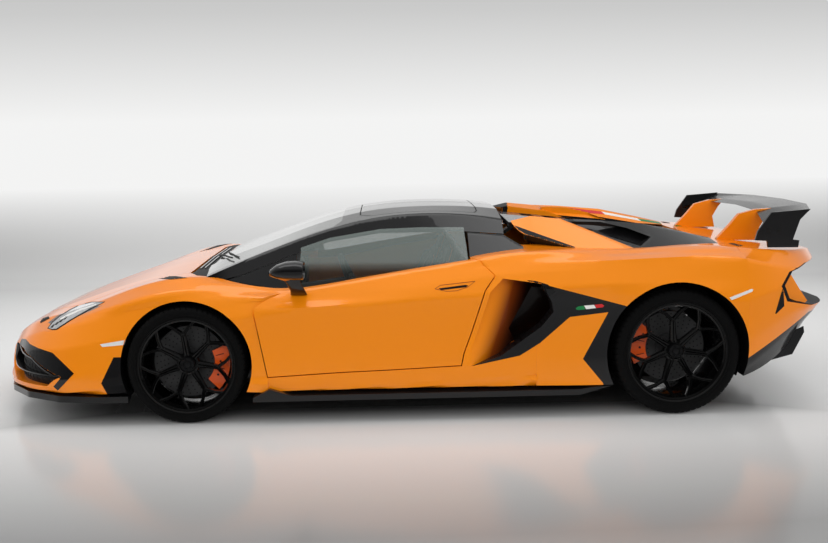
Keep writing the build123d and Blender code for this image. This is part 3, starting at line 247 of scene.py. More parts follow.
def disc_steel(axle_x, axle_z):
    """Carbon-ceramic disc: grey swept face with rows of drilled holes painted as dark shade, turned marks."""
    s = Shader("brake_disc", (0.03, 0.03, 0.031), 0.42, 0.4)
    x, _, z = s.split(s.place())
    x, z = s.less(x, axle_x), s.less(z, axle_z)
    radius = s.math("SQRT", s.squares(x, z))
    row = s.math("DIVIDE", s.less(radius, HOLES_FROM), HOLE_ROW)
    turn = s.add(s.times(s.math("ARCTAN2", z, x), HOLES_ROUND / (2 * pi)), s.times(s.math("FLOOR", row), 0.25))
    across = s.less(s.math("FRACT", row), 0.5)
    along = s.times(s.less(s.math("FRACT", turn), 0.5), s.times(radius, 10))
    # The drilled holes are painted near black, as painted shade inside them.
    hole_shade = s.times(s.math("GREATER_THAN", radius, HOLES_FROM), s.math("LESS_THAN", s.squares(across, along), 0.035))
    s.colour(hole_shade, (0, (0.040, 0.040, 0.041)), (1, (0.001, 0.001, 0.001)))
    s.bump(s.math("SINE", s.times(radius, 9000)), 0.08, 0.0003)
    return s.material


def side_glass():
    """Thin green-grey glass: mostly see-through, with a clean reflection, and a painted pale reflection that grows
    towards its top.
    """
    s = Shader("tinted_glass", (0.030, 0.042, 0.038), 0.02, Specular_IOR_Level=0.7)
    opaque = s.span(s.node("LayerWeight", Blend=0.2).outputs["Fresnel"], to_low=0.26)
    # Painted reflection: colour and opacity turn pale towards the top of the glass.
    painted_reflection = s.span(s.split(s.place())[2], GLASS_CLEAR_Z, GLASS_REFLECTION_Z, smooth=True)
    s.colour(painted_reflection, (0, (0.010, 0.014, 0.012)), (1, (0.23, 0.27, 0.255)))
    s.set("Alpha", s.math("MAXIMUM", opaque, s.times(painted_reflection, 0.38)))
    return s.material


def screen_glass():
    """The windscreen: a steep pane with a real reflection of the studio, and a pale grey colour that paints part of its
    sheen.
    """
    s = Shader("windscreen_glass", (0.36, 0.37, 0.36), 0.05, 0.5, Coat_Weight=0.6, Coat_Roughness=0.02)
    s.rough(s.noise(6), 0.04, 0.07)
    s.set("Alpha", s.span(s.node("LayerWeight", Blend=0.5).outputs["Facing"], 0.20, 0.50, 0.28, 0.90))
    return s.material


def blued_titanium():
    s = Shader("blued_titanium", (0.3, 0.32, 0.42), 0.22, 1.0)
    s.colour(s.span(s.split(s.place())[0], BLUED_END, BLUED_START), (0, (0.10, 0.13, 0.42)),
             (0.25, (0.30, 0.16, 0.42)), (0.5, (0.55, 0.36, 0.18)), (1, (0.42, 0.41, 0.40)))
    s.rough(s.noise(200), 0.16, 0.28)
    return s.material


def leather():
    s = Shader("black_leather", (0.012, 0.012, 0.013), 0.5, Sheen_Weight=0.15)
    s.bump(s.texture("Voronoi", "Distance", Scale=420, feature="DISTANCE_TO_EDGE"), 0.35, 0.0006)
    s.rough(s.noise(30), 0.42, 0.58)
    return s.material


def lamp_glass():
    """Clear lens over a bright, ribbed reflector bowl."""
    s = Shader("headlamp_glass", (0.42, 0.43, 0.44), 0.12, 0.35, Coat_Weight=1, Coat_Roughness=0.02)
    s.colour(s.texture("Voronoi", "Distance", s.place((1, 1, 2.4)), Scale=26, feature="SMOOTH_F1"),
             (0, (0.62, 0.62, 0.63)), (0.55, (0.46, 0.47, 0.48)), (1, (0.22, 0.22, 0.23)))
    s.bump(s.noise(40), 0.08, 0.001)
    return s.material


def red_lens():
    s = Shader("tail_lamp_red", (0.16, 0.003, 0.003), 0.12, Coat_Weight=0.7, Emission_Strength=0.04,
               Emission_Color=(0.55, 0.01, 0.01, 1))
    s.bump(s.texture("Wave", "Fac", Scale=60), 0.2, 0.001)
    return s.material


def scoop_painted_shade():
    """Orange with painted shade, darker towards the back of the side intake, where the duct goes in behind the blade.
    """
    s = Shader("intake_painted_shade", ORANGE, 0.36, 0.1, Coat_Weight=0.4, Coat_Roughness=0.08, Specular_IOR_Level=0.2)
    x, _, z = s.split(s.place())
    # Painted shade: the colour runs from near black at the back of the intake to orange at its front.
    s.colour(s.span(s.add(x, s.times(z, SCOOP_SLANT)), SCOOP_DARK, SCOOP_LIGHT, smooth=True),
             (0, (0.004, 0.001, 0.0005)), (0.45, (0.20, 0.035, 0.002)), (1, ORANGE))
    s.bump(s.noise(1200, 1), 0.05)
    return s.material


MATERIALS = {
    "body_paint": orange_paint(), "carbon": carbon(), "glass": side_glass(), "rear_lens": red_lens(),
    "exhaust": blued_titanium(), "leather": leather(),
    "black_paint": finish("black_paint", BLACK, 0.22, gloss=(4, 2, 0.16, 0.26), Coat_Weight=0.8,
                          Coat_Roughness=0.02, Coat_IOR=1.4, Specular_IOR_Level=0.2),
    "black_plastic": finish("satin_black_plastic", BLACK, 0.5, gloss=(300, 2, 0.40, 0.58), grain=(900, 1, 0.12),
                            Specular_IOR_Level=0.2),
    "tyre": finish("tyre_rubber", (0.0030, 0.0030, 0.0031), 0.66, gloss=(60, 4, 0.55, 0.75),
                   grain=(700, 2, 0.15, 0.0005), Specular_IOR_Level=0.10),
    "rim": finish("rim_gloss_black", (0.0012, 0.0012, 0.0013), 0.22, gloss=(20, 2, 0.2, 0.32), Coat_Weight=0.4,
                  Coat_Roughness=0.04, Specular_IOR_Level=0.1),
    "calliper": finish("calliper_orange", (0.72, 0.085, 0.004), 0.32, grain=(500, 2, 0.05), Coat_Weight=0.5,
                       Coat_Roughness=0.08),
    "iron": finish("cast_metal", (0.09, 0.09, 0.095), 0.55, 0.7, grain=(400, 4, 0.3, 0.0008)),
    "alloy": finish("satin_alloy", (0.28, 0.28, 0.29), 0.38, 0.9, gloss=(120, 4, 0.3, 0.46)),
    "lamp_lens": finish("headlamp_lens", (0.80, 0.82, 0.85), 0.04, grain=(60, 2, 0.05, 0.0008),
                        Transmission_Weight=0.9, IOR=1.3, Coat_Weight=1),
}
FINISH = {
    "marker": plain("marker_lens", (0.72, 0.72, 0.70), 0.25, Coat_Weight=0.6),
    "green": plain("tag_green", (0.0, 0.19, 0.045), 0.35, Coat_Weight=0.6),
    "white": plain("tag_white", (0.82, 0.81, 0.78), 0.35, Coat_Weight=0.6),
    "red": plain("tag_red", (0.62, 0.012, 0.016), 0.35, Coat_Weight=0.6),
    "gap": plain("gap_black", (0.002, 0.002, 0.002), 0.7),
    "slot": plain("recess_black", (0.004, 0.004, 0.004), 0.6, 200, 0.2),
    "gloss": MATERIALS["black_paint"], "satin": MATERIALS["black_plastic"], "carbon": MATERIALS["carbon"],
    "paint": MATERIALS["body_paint"],
}


def measures(name):
    """Centre, half width and radius of a round node on an axle."""
    low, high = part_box(name)
    return Vector([(a + b) / 2 for a, b in zip(low, high)]), (high[1] - low[1]) / 2, (high[2] - low[2]) / 2


def dress_cad_nodes():
    """Every CAD node takes the material of its slot in the record."""
    for name, node in nodes.items():
        if name == "windscreen":
            chosen = screen_glass()
        elif NODE_SLOT[name] == "disc":
            centre, _, _ = measures(name)
            chosen = disc_steel(centre.x, centre.z)
        else:
            chosen = MATERIALS[NODE_SLOT[name]]
        for slot in node.material_slots:
            slot.material = chosen


dress_cad_nodes()


# --- smooth copies of the panels
SOFT_EDGE, SOFT_RADIUS = 0.030, 0.022
SOFT_LIMIT = cos(radians(52))
WELL_REACH = {"front": 0.44, "rear": 0.45}
# The wall of the side intake: x, and how far out it lies there.
SCOOP_WALL = ((-0.300, 1.002), (-0.560, 0.880), (-0.800, 0.745), (-1.100, 0.600))
SCOOP_LOW, SCOOP_HIGH, SCOOP_LIP = 0.28, 0.78, 0.012  # where its paint ends, below, above and out of the wall
# The recess round the tail lamps: its x and z, and how far out it goes.
LAMP_RECESS_X, LAMP_RECESS_Z, LAMP_RECESS_OUT = (-2.26, -2.0), (0.59, 0.79), 0.86
FIN_FRONT_X = -0.735
# The rear fenders' second finish is the intake's orange with its painted shade.
SECOND_FINISH = {"roof_fins": MATERIALS["carbon"], "rear_fenders": scoop_painted_shade()}


def finely_cut(bm, longest):
    """Cuts a mesh until no edge is longer than longest."""
    bmesh.ops.remove_doubles(bm, verts=bm.verts, dist=1e-5)
    bmesh.ops.triangulate(bm, faces=bm.faces)
    for _ in range(8):
        long_edges = [edge for edge in bm.edges if edge.calc_length() > longest]
        if not long_edges:
            break
        bmesh.ops.subdivide_edges(bm, edges=long_edges, cuts=1)
        bmesh.ops.triangulate(bm, faces=[face for face in bm.faces if len(face.verts) > 3])


def in_a_well(place, normal):
    """True for faces that look into a wheel well, which are bare black inside."""
    for axle, (axle_x, axle_z) in AXLES.items():
        out = Vector((place.x - axle_x, 0, place.z - axle_z))
        if out.length < WELL_REACH[axle] and (
                normal.dot(out.normalized()) < -0.6 or normal.y * place.y < -0.5 * abs(place.y)):
            return True
    return False


def scoop_wall(x):
    """How far out the wall of the side intake lies at x."""
    for (ahead, first), (behind, last) in zip(SCOOP_WALL, SCOOP_WALL[1:]):
        if behind <= x <= ahead:
            return first + (last - first) * (ahead - x) / (ahead - behind)
    return 0.0


def finish_of(name, place, normal):
    """Which of a panel's finishes a face takes: 0 its own, 1 bare black in a wheel well, 2 its second finish."""
    out, inward = abs(place.y), -normal.y * (1 if place.y > 0 else -1)
    if in_a_well(place, normal):
        return 1
    if name == "rear_bumper":
        (behind, ahead), (low, high) = LAMP_RECESS_X, LAMP_RECESS_Z
        return int(behind < place.x < ahead and low < place.z < high and out < LAMP_RECESS_OUT)
    second = {"roof_fins": normal.z < -0.2 or (place.x > FIN_FRONT_X and inward > 0.1),
              "buttresses": inward > 0.15 and normal.z > 0.1,
              "rear_fenders": out < scoop_wall(place.x) + SCOOP_LIP and SCOOP_LOW < place.z < SCOOP_HIGH}
    return 2 if second.get(name) else 0


def new_piece(name, mesh, materials, body, slot):
    """Puts a mesh in the scene as a piece that rides on a body."""
    for material in materials:
        mesh.materials.append(material)
    made = bpy.data.objects.new(name, mesh)
    bpy.context.scene.collection.objects.link(made)
    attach(made, body)
    return made


def soft_panel(name):
    """A finely cut copy of a CAD panel whose shading turns softly over its creases, as pressed panels do."""
    bm = bmesh.new()
    bm.from_mesh(nodes[name].data)
    finely_cut(bm, SOFT_EDGE)
    bm.normal_update()
    bm.verts.ensure_lookup_table()
    bm.faces.ensure_lookup_table()
    tree = KDTree(len(bm.faces))
    weights = [face.calc_area() for face in bm.faces]
    normals = [face.normal.copy() for face in bm.faces]
    for index, face in enumerate(bm.faces):
        tree.insert(face.calc_center_median(), index)
    tree.balance()
    near = [[index for _, index, _ in tree.find_range(vert.co, SOFT_RADIUS)] for vert in bm.verts]
    loop_normals = []
    for face in bm.faces:
        own = normals[face.index]
        for vert in face.verts:
            total = own * weights[face.index]
            for index in near[vert.index]:
                if normals[index].dot(own) > SOFT_LIMIT:
                    total += normals[index] * weights[index]
            loop_normals.append(total.normalized())
    mesh = bpy.data.meshes.new(name + "_skin")
    bm.to_mesh(mesh)
    bm.free()
    mesh.shade_smooth()
    mesh.normals_split_custom_set(loop_normals)
    skin = new_piece(name + "_skin", mesh, [MATERIALS[NODE_SLOT[name]], MATERIALS["black_plastic"],
                                            SECOND_FINISH.get(name, MATERIALS["body_paint"])],
                     NODE_BODY[name], NODE_SLOT[name])
    for polygon in mesh.polygons:
        polygon.material_index = finish_of(name, polygon.center, polygon.normal)
    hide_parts(name)


for panel in ("front_bumper", "front_fenders", "bonnet", "door_left", "door_right", "rocker_panels", "rear_fenders",
              "rear_bumper", "roof_frame", "roof_panel_left", "roof_panel_right", "buttresses", "side_trim",
              "front_splitter", "diffuser", "wing", "wing_pylons", "roof_fins", "quarter_panels"):
    soft_panel(panel)


# --- closed forms: each is a list of points and a list of faces
def turns(count, first=0.0):
    """Angles that share out a full turn."""
    return [first + 2 * pi * k / count for k in range(count)]


def circle(count, radius):
    return [(radius * cos(t), radius * sin(t)) for t in turns(count)]


def swept(rings, closed=False):
    """A form through rings of equal count: a bar with capped ends, or a ring if it closes on itself."""
    count, total = len(rings[0]), len(rings)
    faces = []
    for index in range(total if closed else total - 1):
        a, b = index * count, (index + 1) % total * count
        faces += [[a + k, a + (k + 1) % count, b + (k + 1) % count, b + k] for k in range(count)]
    if not closed:
        faces += [list(range(count))[::-1], list(range((total - 1) * count, total * count))]
    return [Vector(point) for ring in rings for point in ring], faces


def tube(path, radii, sides=10, closed=False):
    """A round bar along points. radii holds one number for each point."""
    count = len(path)
    path = [Vector(point) for point in path]
    rings = []
    lean = None
    for index, spot in enumerate(path):
        ahead = path[(index + 1) % count] if closed else path[min(index + 1, count - 1)]
        behind = path[index - 1] if closed else path[max(index - 1, 0)]
        way = (ahead - behind).normalized()
        if lean is None:
            lean = way.orthogonal().normalized()
        lean = (lean - way * lean.dot(way)).normalized()
        other = way.cross(lean)
        rings.append([spot + lean * u + other * v for u, v in circle(sides, radii[index])])
    return swept(rings, closed)


def slab(outline, low, high, place):
    """A plate: an outline in two coordinates, from low to high along the third. place makes a point of the three."""
    return swept([[place(u, v, w) for u, v in outline] for w in (low, high)])


def upright(x, z, y):
    return Vector((x, y, z))


def outward(parts):
    """The same parts with every face turned outwards."""
    made = []
    for points, faces in parts:
        bm = bmesh.new()
        verts = [bm.verts.new(point) for point in points]
        for face in faces:
            bm.faces.new([verts[k] for k in face])
        bmesh.ops.recalc_face_normals(bm, faces=bm.faces)
        bm.verts.index_update()
        made.append(([vert.co.copy() for vert in bm.verts], [[vert.index for vert in face.verts] for face in bm.faces]))
        bm.free()
    return made


def mirrored(parts):
    """The same parts on the car's other side."""
    return [([Vector((p.x, -p.y, p.z)) for p in points], [face[::-1] for face in faces]) for points, faces in parts]


def joined(parts):
    points, faces = [], []
    for more_points, more_faces in parts:
        faces += [[k + len(points) for k in face] for face in more_faces]
        points += more_points
    return points, faces


def mesh_piece(name, parts, material, body, slot, angle=35):
    """One piece from several closed parts, smooth but for its sharp edges."""
    points, faces = joined(parts)
    mesh = bpy.data.meshes.new(name)
    mesh.from_pydata(points, [], faces)
    mesh.validate()
    mesh.shade_smooth()
    mesh.set_sharp_from_angle(angle=radians(angle))
    return new_piece(name, mesh, [material], body, slot)


def pair(name, parts, material, slot):
    """Closed parts and their mirror images as one piece."""
    parts = outward(parts)
    return mesh_piece(name, parts + mirrored(parts), material, "body", slot)


# --- rays onto the solids, and plates laid where they land
FOCAL = CAMERA_LENS_MM / SENSOR_MM * PHOTO_WIDE
VIEW_STEP, FINE_VIEW_STEP, SKIN_STEP = 1.5, 0.5, 0.02  # the first two in pixels
PLATE_LIFT, LONGEST_STEP = 0.0012, 0.075
TREES = {}


def camera_axes():
    """The camera's right, up and forward directions, from its yaw, pitch and roll."""
    forward = Vector((-sin(CAMERA_YAW) * cos(CAMERA_PITCH), -cos(CAMERA_YAW) * cos(CAMERA_PITCH), -sin(CAMERA_PITCH)))
    level = Vector((-cos(CAMERA_YAW), sin(CAMERA_YAW), 0))
    lifted = level.cross(forward)
    right = cos(CAMERA_ROLL) * level + sin(CAMERA_ROLL) * lifted
    up = -sin(CAMERA_ROLL) * level + cos(CAMERA_ROLL) * lifted
    return right, up, forward


RIGHT, UP, FORWARD = camera_axes()


def from_view(u, v):
    """The ray through a point of the photograph's frame."""
    way = FORWARD * FOCAL + RIGHT * (u - PHOTO_WIDE / 2) - UP * (v - PHOTO_HIGH / 2)
    return CAMERA_PLACE, way.normalized()


def from_view_far(u, v):
    """The same ray from the car's middle plane on, for what shows on its far side."""
    start, way = from_view(u, v)
    return start - way * (start.y / way.y), way


def from_side(u, v):
    return Vector((u, 1.6, v)), Vector((0, -1, 0))


def from_top(u, v):
    return Vector((u, v, 2.0)), Vector((0, 0, -1))


def from_nose(u, v):
    return Vector((3.2, u, v)), Vector((-1, 0, 0))


def from_tail(u, v):
    return Vector((-3.2, u, v)), Vector((1, 0, 0))


def node_surface(name):
    mesh = nodes[name].data
    return [vertex.co.copy() for vertex in mesh.vertices], [list(polygon.vertices) for polygon in mesh.polygons]


def skin_tree(names):
    """One ray-casting tree over the CAD meshes of the named nodes, which one string names."""
    if names not in TREES:
        TREES[names] = BVHTree.FromPolygons(*joined([node_surface(name) for name in names.split()]))
    return TREES[names]


def cast(u, v, ray, names, lift=0.0):
    """The point where a ray meets the named nodes, moved back along the ray by lift."""
    start, way = ray(u, v)
    place = skin_tree(names).ray_cast(start, way)[0]
    return None if place is None else place - way * lift


def closed_shell(top, bottom, faces):
    """Points and faces of a closed plate from its top and bottom points and the top faces."""
    count = len(top)
    edges = {(a, b): True for face in faces for a, b in zip(face, face[1:] + face[:1])}
    shell = [list(face) for face in faces] + [[k + count for k in reversed(face)] for face in faces]
    shell += [[b, a, a + count, b + count] for a, b in edges if (b, a) not in edges]
    return top + bottom, shell


def laid(outline, ray, names, longest, lift, sink):
    """A closed plate on the skin: the outline, filled and cut finely, cast along the rays onto the named nodes."""
    bm = bmesh.new()
    bm.faces.new([bm.verts.new((u, v, 0)) for u, v in outline])
    finely_cut(bm, longest)
    bm.normal_update()
    tree = skin_tree(names)
    hits = {}
    for vert in bm.verts:
        start, way = ray(vert.co.x, vert.co.y)
        place, normal, _, _ = tree.ray_cast(start, way)
        if place is not None:
            hits[vert.index] = (place, -normal if normal.dot(way) > 0 else normal)
    bm.verts.ensure_lookup_table()
    order = {index: k for k, index in enumerate(hits)}
    top = [place + normal * lift for place, normal in hits.values()]
    bottom = [place - normal * sink for place, normal in hits.values()]
    faces = []
    for face in bm.faces:
        if any(vert.index not in order for vert in face.verts):
            continue
        ring = [order[vert.index] for vert in face.verts]
        if any((top[k] - top[n]).length > LONGEST_STEP for k, n in zip(ring, ring[1:] + ring[:1])):
            continue
        a, b, c = (top[k] for k in ring[:3])
        if (b - a).cross(c - a).dot(hits[face.verts[0].index][1]) < 0:
            ring.reverse()
        faces.append(ring)
    bm.free()
    return closed_shell(top, bottom, faces)


def patch(name, outlines, ray, names, material, slot, body="body", longest=SKIN_STEP, lift=PLATE_LIFT, both=True):
    """Plates on the skin, on both sides unless both is False. A body name with {} gives each side its own body."""
    parts = [laid(outline, ray, names, longest, lift, PLATE_LIFT) for outline in outlines]
    if "{}" in body:
        for (side_name, _), side_parts in zip(SIDES, (parts, mirrored(parts))):
            mesh_piece(f"{name}_{side_name}", side_parts, material, body.format(side_name), slot)
    else:
        mesh_piece(name, parts + mirrored(parts) if both else parts, material, body, slot)


# --- tyres and wheels
TREAD_PITCHES = 66
TREAD_STEPS = ((0.0, False), (0.80, False), (0.84, True), (0.96, True))  # share of a pitch, and in a cross groove
TREAD_SWEEP = 2.2  # pitches by which cross grooves lean over the tread's width
SIPE_DEPTH, GROOVE_DEPTH = 0.0045, 0.0065
# Tread from the middle out: share of the width, drop, and whether cross grooves cut it.
TREAD_ROWS = ((0, 0, False), (0.100, 0, False), (0.104, GROOVE_DEPTH, False), (0.134, GROOVE_DEPTH, False),
              (0.138, 0, True), (0.270, 0.0006, True), (0.274, GROOVE_DEPTH, False), (0.302, GROOVE_DEPTH, False),
              (0.306, 0.001, True))
# Shoulder: in from the side, drop, and whether cross grooves cut it.
SHOULDER_ROWS = ((0.029, 0.0022, True), (0.017, 0.005, True), (0.009, 0.0105, True), (0.004, 0.018, False))
SHOULDER_DROP, LIP_HEIGHT = 0.018, 0.006
# Sidewall: share of its height, and in from the side.
WALL_ROWS = ((0.12, 0.0012), (0.3, 0), (0.5, 0.0008), (0.52, 0.0018), (0.68, 0.0030), (0.70, 0.0012),
             (0.80, 0.0012), (0.82, 0.0042), (0.93, 0.0090), (1, 0.0150))
SPOKES = 7
SPOKE_TURN, SPOKE_SPREAD, SPOKE_SPLIT = radians(83.8), radians(18.6), 0.635
SPOKE_CHAMFER, SPOKE_CHANNEL = 0.006, 0.004
FACE_INSET, FACE_RISE, TIP_GAP = 0.050, 0.040, 0.016  # spokes: in from the outer edge at the hub, rise, gap at the lip
# Barrel: which edge, in from it, and down from the rim's radius.
BARREL_ROWS = ((1, 0, 0.001), (1, 0, 0.009), (1, 0.003, 0.012), (1, 0.006, 0.013), (1, 0.010, 0.022),
               (1, 0.026, 0.026), (1, 0.060, 0.030), (-1, 0.030, 0.026), (-1, 0, 0.012), (-1, 0, 0.001))
# Hub, ring nut and bare cap: in from the outer edge, and radius.
HUB_ROWS = ((0.100, 0), (0.100, 0.058), (0.060, 0.064), (0.052, 0.060), (0.050, 0.050), (0.056, 0.046), (0.056, 0))
NUT_ROWS = ((0.057, 0.020), (0.057, 0.042), (0.036, 0.040), (0.030, 0.036), (0.030, 0.022), (0.036, 0.020))
CAP_ROWS = ((0.050, 0), (0.050, 0.021), (0.034, 0.021), (0.031, 0.018), (0.029, 0.009), (0.0288, 0))


def tyre(name, body):
    """A tyre with ribs, cross grooves and a stepped sidewall, in place of its CAD node."""
    centre, half, radius = measures(name)
    width = 2 * half
    height = radius - SHOULDER_DROP - (measures(name.replace("tyre", "rim"))[2] - LIP_HEIGHT)
    rows = [(share * width, radius - drop, cut) for share, drop, cut in TREAD_ROWS]
    rows += [(half - inset, radius - drop, cut) for inset, drop, cut in SHOULDER_ROWS]
    rows += [(half - inset, radius - SHOULDER_DROP - share * height, False) for share, inset in WALL_ROWS]
    rows = [(-out, r, cut) for out, r, cut in reversed(rows[1:])] + rows
    steps = [(pitch + step, groove) for pitch in range(TREAD_PITCHES) for step, groove in TREAD_STEPS]
    points = []
    for step, groove in steps:
        for out, r, cut in rows:
            turn = (step + TREAD_SWEEP * abs(out) / width) * 2 * pi / TREAD_PITCHES
            reach = r - SIPE_DEPTH if groove and cut else r
            points.append(centre + Vector((reach * cos(turn), out, reach * sin(turn))))
    count = len(rows)
    faces = []
    for index in range(len(steps)):
        a, b = index * count, (index + 1) % len(steps) * count
        faces += [[a + k, a + k + 1, b + k + 1, b + k] for k in range(count - 1)]
    made = mesh_piece(name + "_rubber", [(points, faces)], MATERIALS["tyre"], body, "tyre")
    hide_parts(name)


def lathe(centre, side, rows, steps=96):
    """Closed ring or drum about an axle. Rows are (outward place, radius)."""
    return swept([[centre + Vector((r * cos(t), side * out, r * sin(t))) for out, r in rows] for t in turns(steps)],
                 closed=True)


def bar(centre, side, path):
    """A closed spoke along points (radius, angle, half width, back, front), chamfered, with a channel in its face."""
    places = [Vector((r * cos(a), 0, r * sin(a))) for r, a, *_ in path]
    rings = []
    for index, (_, _, half, back, front) in enumerate(path):
        ahead = places[min(index + 1, len(path) - 1)] - places[max(index - 1, 0)]
        across = Vector((-ahead.z, 0, ahead.x)).normalized()
        cut = min(SPOKE_CHAMFER, half * 0.4)
        section = ((-half, back), (half, back), (half, front - cut), (half - cut, front), (half * 0.25, front),
                   (0, front - SPOKE_CHANNEL), (-half * 0.25, front), (cut - half, front), (-half, front - cut))
        rings.append([centre + places[index] + across * offset + Vector((0, side * out, 0))
                      for offset, out in section])
    return swept(rings)


def rim(axle, side_name, side):
    """Seven forked spokes, a stepped lip, a deep barrel, and the hub with its ring nut and bare cap."""
    name, body = f"rim_{axle}_{side_name}", f"wheel_{axle}_{side_name}"
    centre, edge, radius = measures(name)
    split, tip = SPOKE_SPLIT * radius, radius - TIP_GAP

    def face_of(r):
        share = max(0.0, (r - 0.07) / (radius - 0.09))
        return edge - FACE_INSET + FACE_RISE * min(share, 1.0) ** 1.4

    def drum(rows, steps):
        return lathe(centre, side, [(edge - inset, r) for inset, r in rows], steps)

    def path(*rows):
        """Rows (radius, angle, half width, depth), with the face of the spokes in front of them."""
        return [(r, turn, half, face_of(r) - depth, face_of(r)) for r, turn, half, depth in rows]

    parts = [lathe(centre, side, [(end * (edge - inset), radius - down) for end, inset, down in BARREL_ROWS]),
             drum(HUB_ROWS, 48)]
    for turn in turns(SPOKES, SPOKE_TURN):
        parts.append(bar(centre, side, path((0.045, turn, 0.019, 0.040), (0.5 * (0.045 + split), turn, 0.0145, 0.034),
                                            (split, turn, 0.0125, 0.028), (split + 0.012, turn, 0.008, 0.024))))
        for lean in (-SPOKE_SPREAD, SPOKE_SPREAD):
            root = (split - 0.006, turn, 0.0100, face_of(split) - 0.028, face_of(split) - 0.0004)
            parts.append(bar(centre, side, [root, *path(
                (0.5 * (split + tip), turn + lean * 0.57, 0.0082, 0.024), (tip, turn + lean, 0.0095, 0.022))]))
    made = mesh_piece(f"wheel_{name}", outward(parts), MATERIALS["rim"], body, "rim", 28)
    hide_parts(name)
    nut = [drum(NUT_ROWS, 40)]
    nut += [bar(centre, side, [(0.024, turn, 0.006, edge - 0.050, edge - 0.026),
                               (0.0395, turn, 0.006, edge - 0.050, edge - 0.027)]) for turn in turns(5)]
    nut.append(drum(CAP_ROWS, 40))
    mesh_piece(f"ring_nut_{axle}_{side_name}", outward(nut), FINISH["satin"], body, "rim", 28)


for axle in AXLES:
    for side_name, side in SIDES:
        tyre(f"tyre_{axle}_{side_name}", f"wheel_{axle}_{side_name}")
        rim(axle, side_name, side)


# --- plates by pixel of the photograph
LAMP_NODES = "headlamps front_bumper front_fenders"
BLADE_NODES = "side_trim rear_fenders"
STRIPE_NODES = "roof_fins buttresses rear_fenders wing_pylons"
# First the headlamp, on which plates lie over each other: name, lift, material, slot, outlines.
LAMP_PLATES = (
    ("lamp_glass", 0.0024, lamp_glass(), "lamp_lens",
     [[(48.6, 328.2), (53, 322.8), (60.2, 316.7), (70.2, 310.6), (80.2, 305.6), (92, 302.8), (103.6, 302.6),
       (91.6, 307.8), (70.4, 319.8), (56.6, 328.8), (52.2, 329.2)]]),
    ("lamp_louvre", 0.0032, FINISH["slot"], "black_plastic",
     [[(50.5 + u, 327.8 - v), (53.5 + u, 324.8 - v), (55.2 + u, 324.9 - v), (52.6 + u, 328.0 - v)]
      for u, v in ((4.2 * k, 2.7 * k) for k in range(4))]),
    ("lamp_light", 0.0032, FINISH["white"], "lamp_lens",
     [[(68, 314.6), (81, 309), (96, 304.4), (97, 305.2), (82, 310.4), (69, 316.2)],
      [(69, 316.2), (68, 314.6), (60.5, 318.8), (61, 320.4)]]))
# Then the rest: name, finish, slot, nodes under it, outline.
VIEW_PLATES = (
    ("marker_front", "marker", "lamp_lens", "front_fenders front_bumper",
     [(100, 344.3), (125.4, 340), (124.6, 344.9), (102.4, 347)]),
    ("marker_rear", "marker", "rear_lens", "rear_fenders rear_bumper",
     [(729.6, 297.6), (751.5, 288.9), (753.2, 289.6), (752.2, 291.6), (731.6, 300.2)]),
    ("tag_green", "green", "body_paint", BLADE_NODES,
     [(575.8, 308.2), (578, 306.6), (583.8, 305.7), (585.4, 309.3), (579, 310), (576.4, 309.6)]),
    ("tag_white", "white", "body_paint", BLADE_NODES, [(584, 305.6), (594, 304.8), (596, 308), (586.2, 309.2)]),
    ("tag_red", "red", "body_paint", BLADE_NODES,
     [(594.4, 304.8), (601.6, 304), (604.2, 305.6), (603, 307.2), (596.4, 308)]),
    ("fender_slot", "slot", "black_plastic", "front_fenders",
     [(157.5, 278.4), (161.5, 276.6), (176, 276.2), (187.5, 278), (170.5, 279.6)]),
    ("door_slot", "gap", "body_paint", "door_left",
     [(438.8, 288.4), (465.5, 284.9), (468.4, 285.6), (466, 287.2), (441, 290.2)]),
    ("deck_slot", "slot", "black_plastic", "rear_fenders rear_bumper buttresses",
     [(728.6, 243.6), (733, 243.2), (742.8, 245.6), (739.5, 246.6)]),
    ("nostril", "slot", "black_plastic", "front_bumper bonnet front_fenders headlamps",
     [(40.3, 321.5), (43, 318.2), (48.8, 316.4), (49.6, 318.4), (44.2, 321.4), (40.6, 323.2)]),
    ("intake_corner", "gloss", "black_paint", "front_bumper",
     [(22, 338.6), (26, 339.2), (30, 344), (38, 348), (52.5, 352.8), (74, 373.6), (57.9, 390.5), (53.5, 386.5),
      (60.2, 378.6), (37.6, 366.8), (28.2, 361.6), (21.8, 353.2), (19, 345.2)]),
    ("fin_duct", "slot", "black_plastic", "roof_fins",
     [(504.8, 230.6), (511.5, 224.4), (594, 253.8), (550.4, 248.5), (520.9, 252)]),
    ("stripe_red", "red", "body_paint", STRIPE_NODES, [(564.7, 207.4), (601.3, 211.6), (604.7, 214.4), (568.2, 211.4)]),
    ("stripe_white", "white", "body_paint", STRIPE_NODES,
     [(601.3, 211.6), (637, 218.4), (641, 221), (604.7, 214.4)]),
    ("stripe_green", "green", "body_paint", STRIPE_NODES, [(637, 218.4), (681, 225.8), (690, 228.4), (641, 221)]),
    ("blade_tip", "gloss", "black_paint", "rear_fenders side_trim",
     [(527, 280.2), (536, 281), (548, 284.6), (556, 292), (549, 296), (543, 289.5), (534, 284.6)]),
    ("lamp_frame", "gap", "black_plastic", LAMP_NODES,
     [(47.4, 328.4), (52.2, 322), (59.6, 315.8), (69.8, 309.6), (80, 304.6), (92, 301.9), (105.3, 301.8),
      (92, 308.6), (71, 320.6), (57, 329.8), (52, 330)]),
    ("tail_slit", "gap", "black_plastic", "rear_bumper",
     [(782.4, 289), (783.4, 290.5), (784.2, 306), (776, 314), (775.2, 313.4)]))
ENDPLATE_BOLTS, BOLT_PIXELS = ((769, 231), (778.9, 230.6)), 1.9

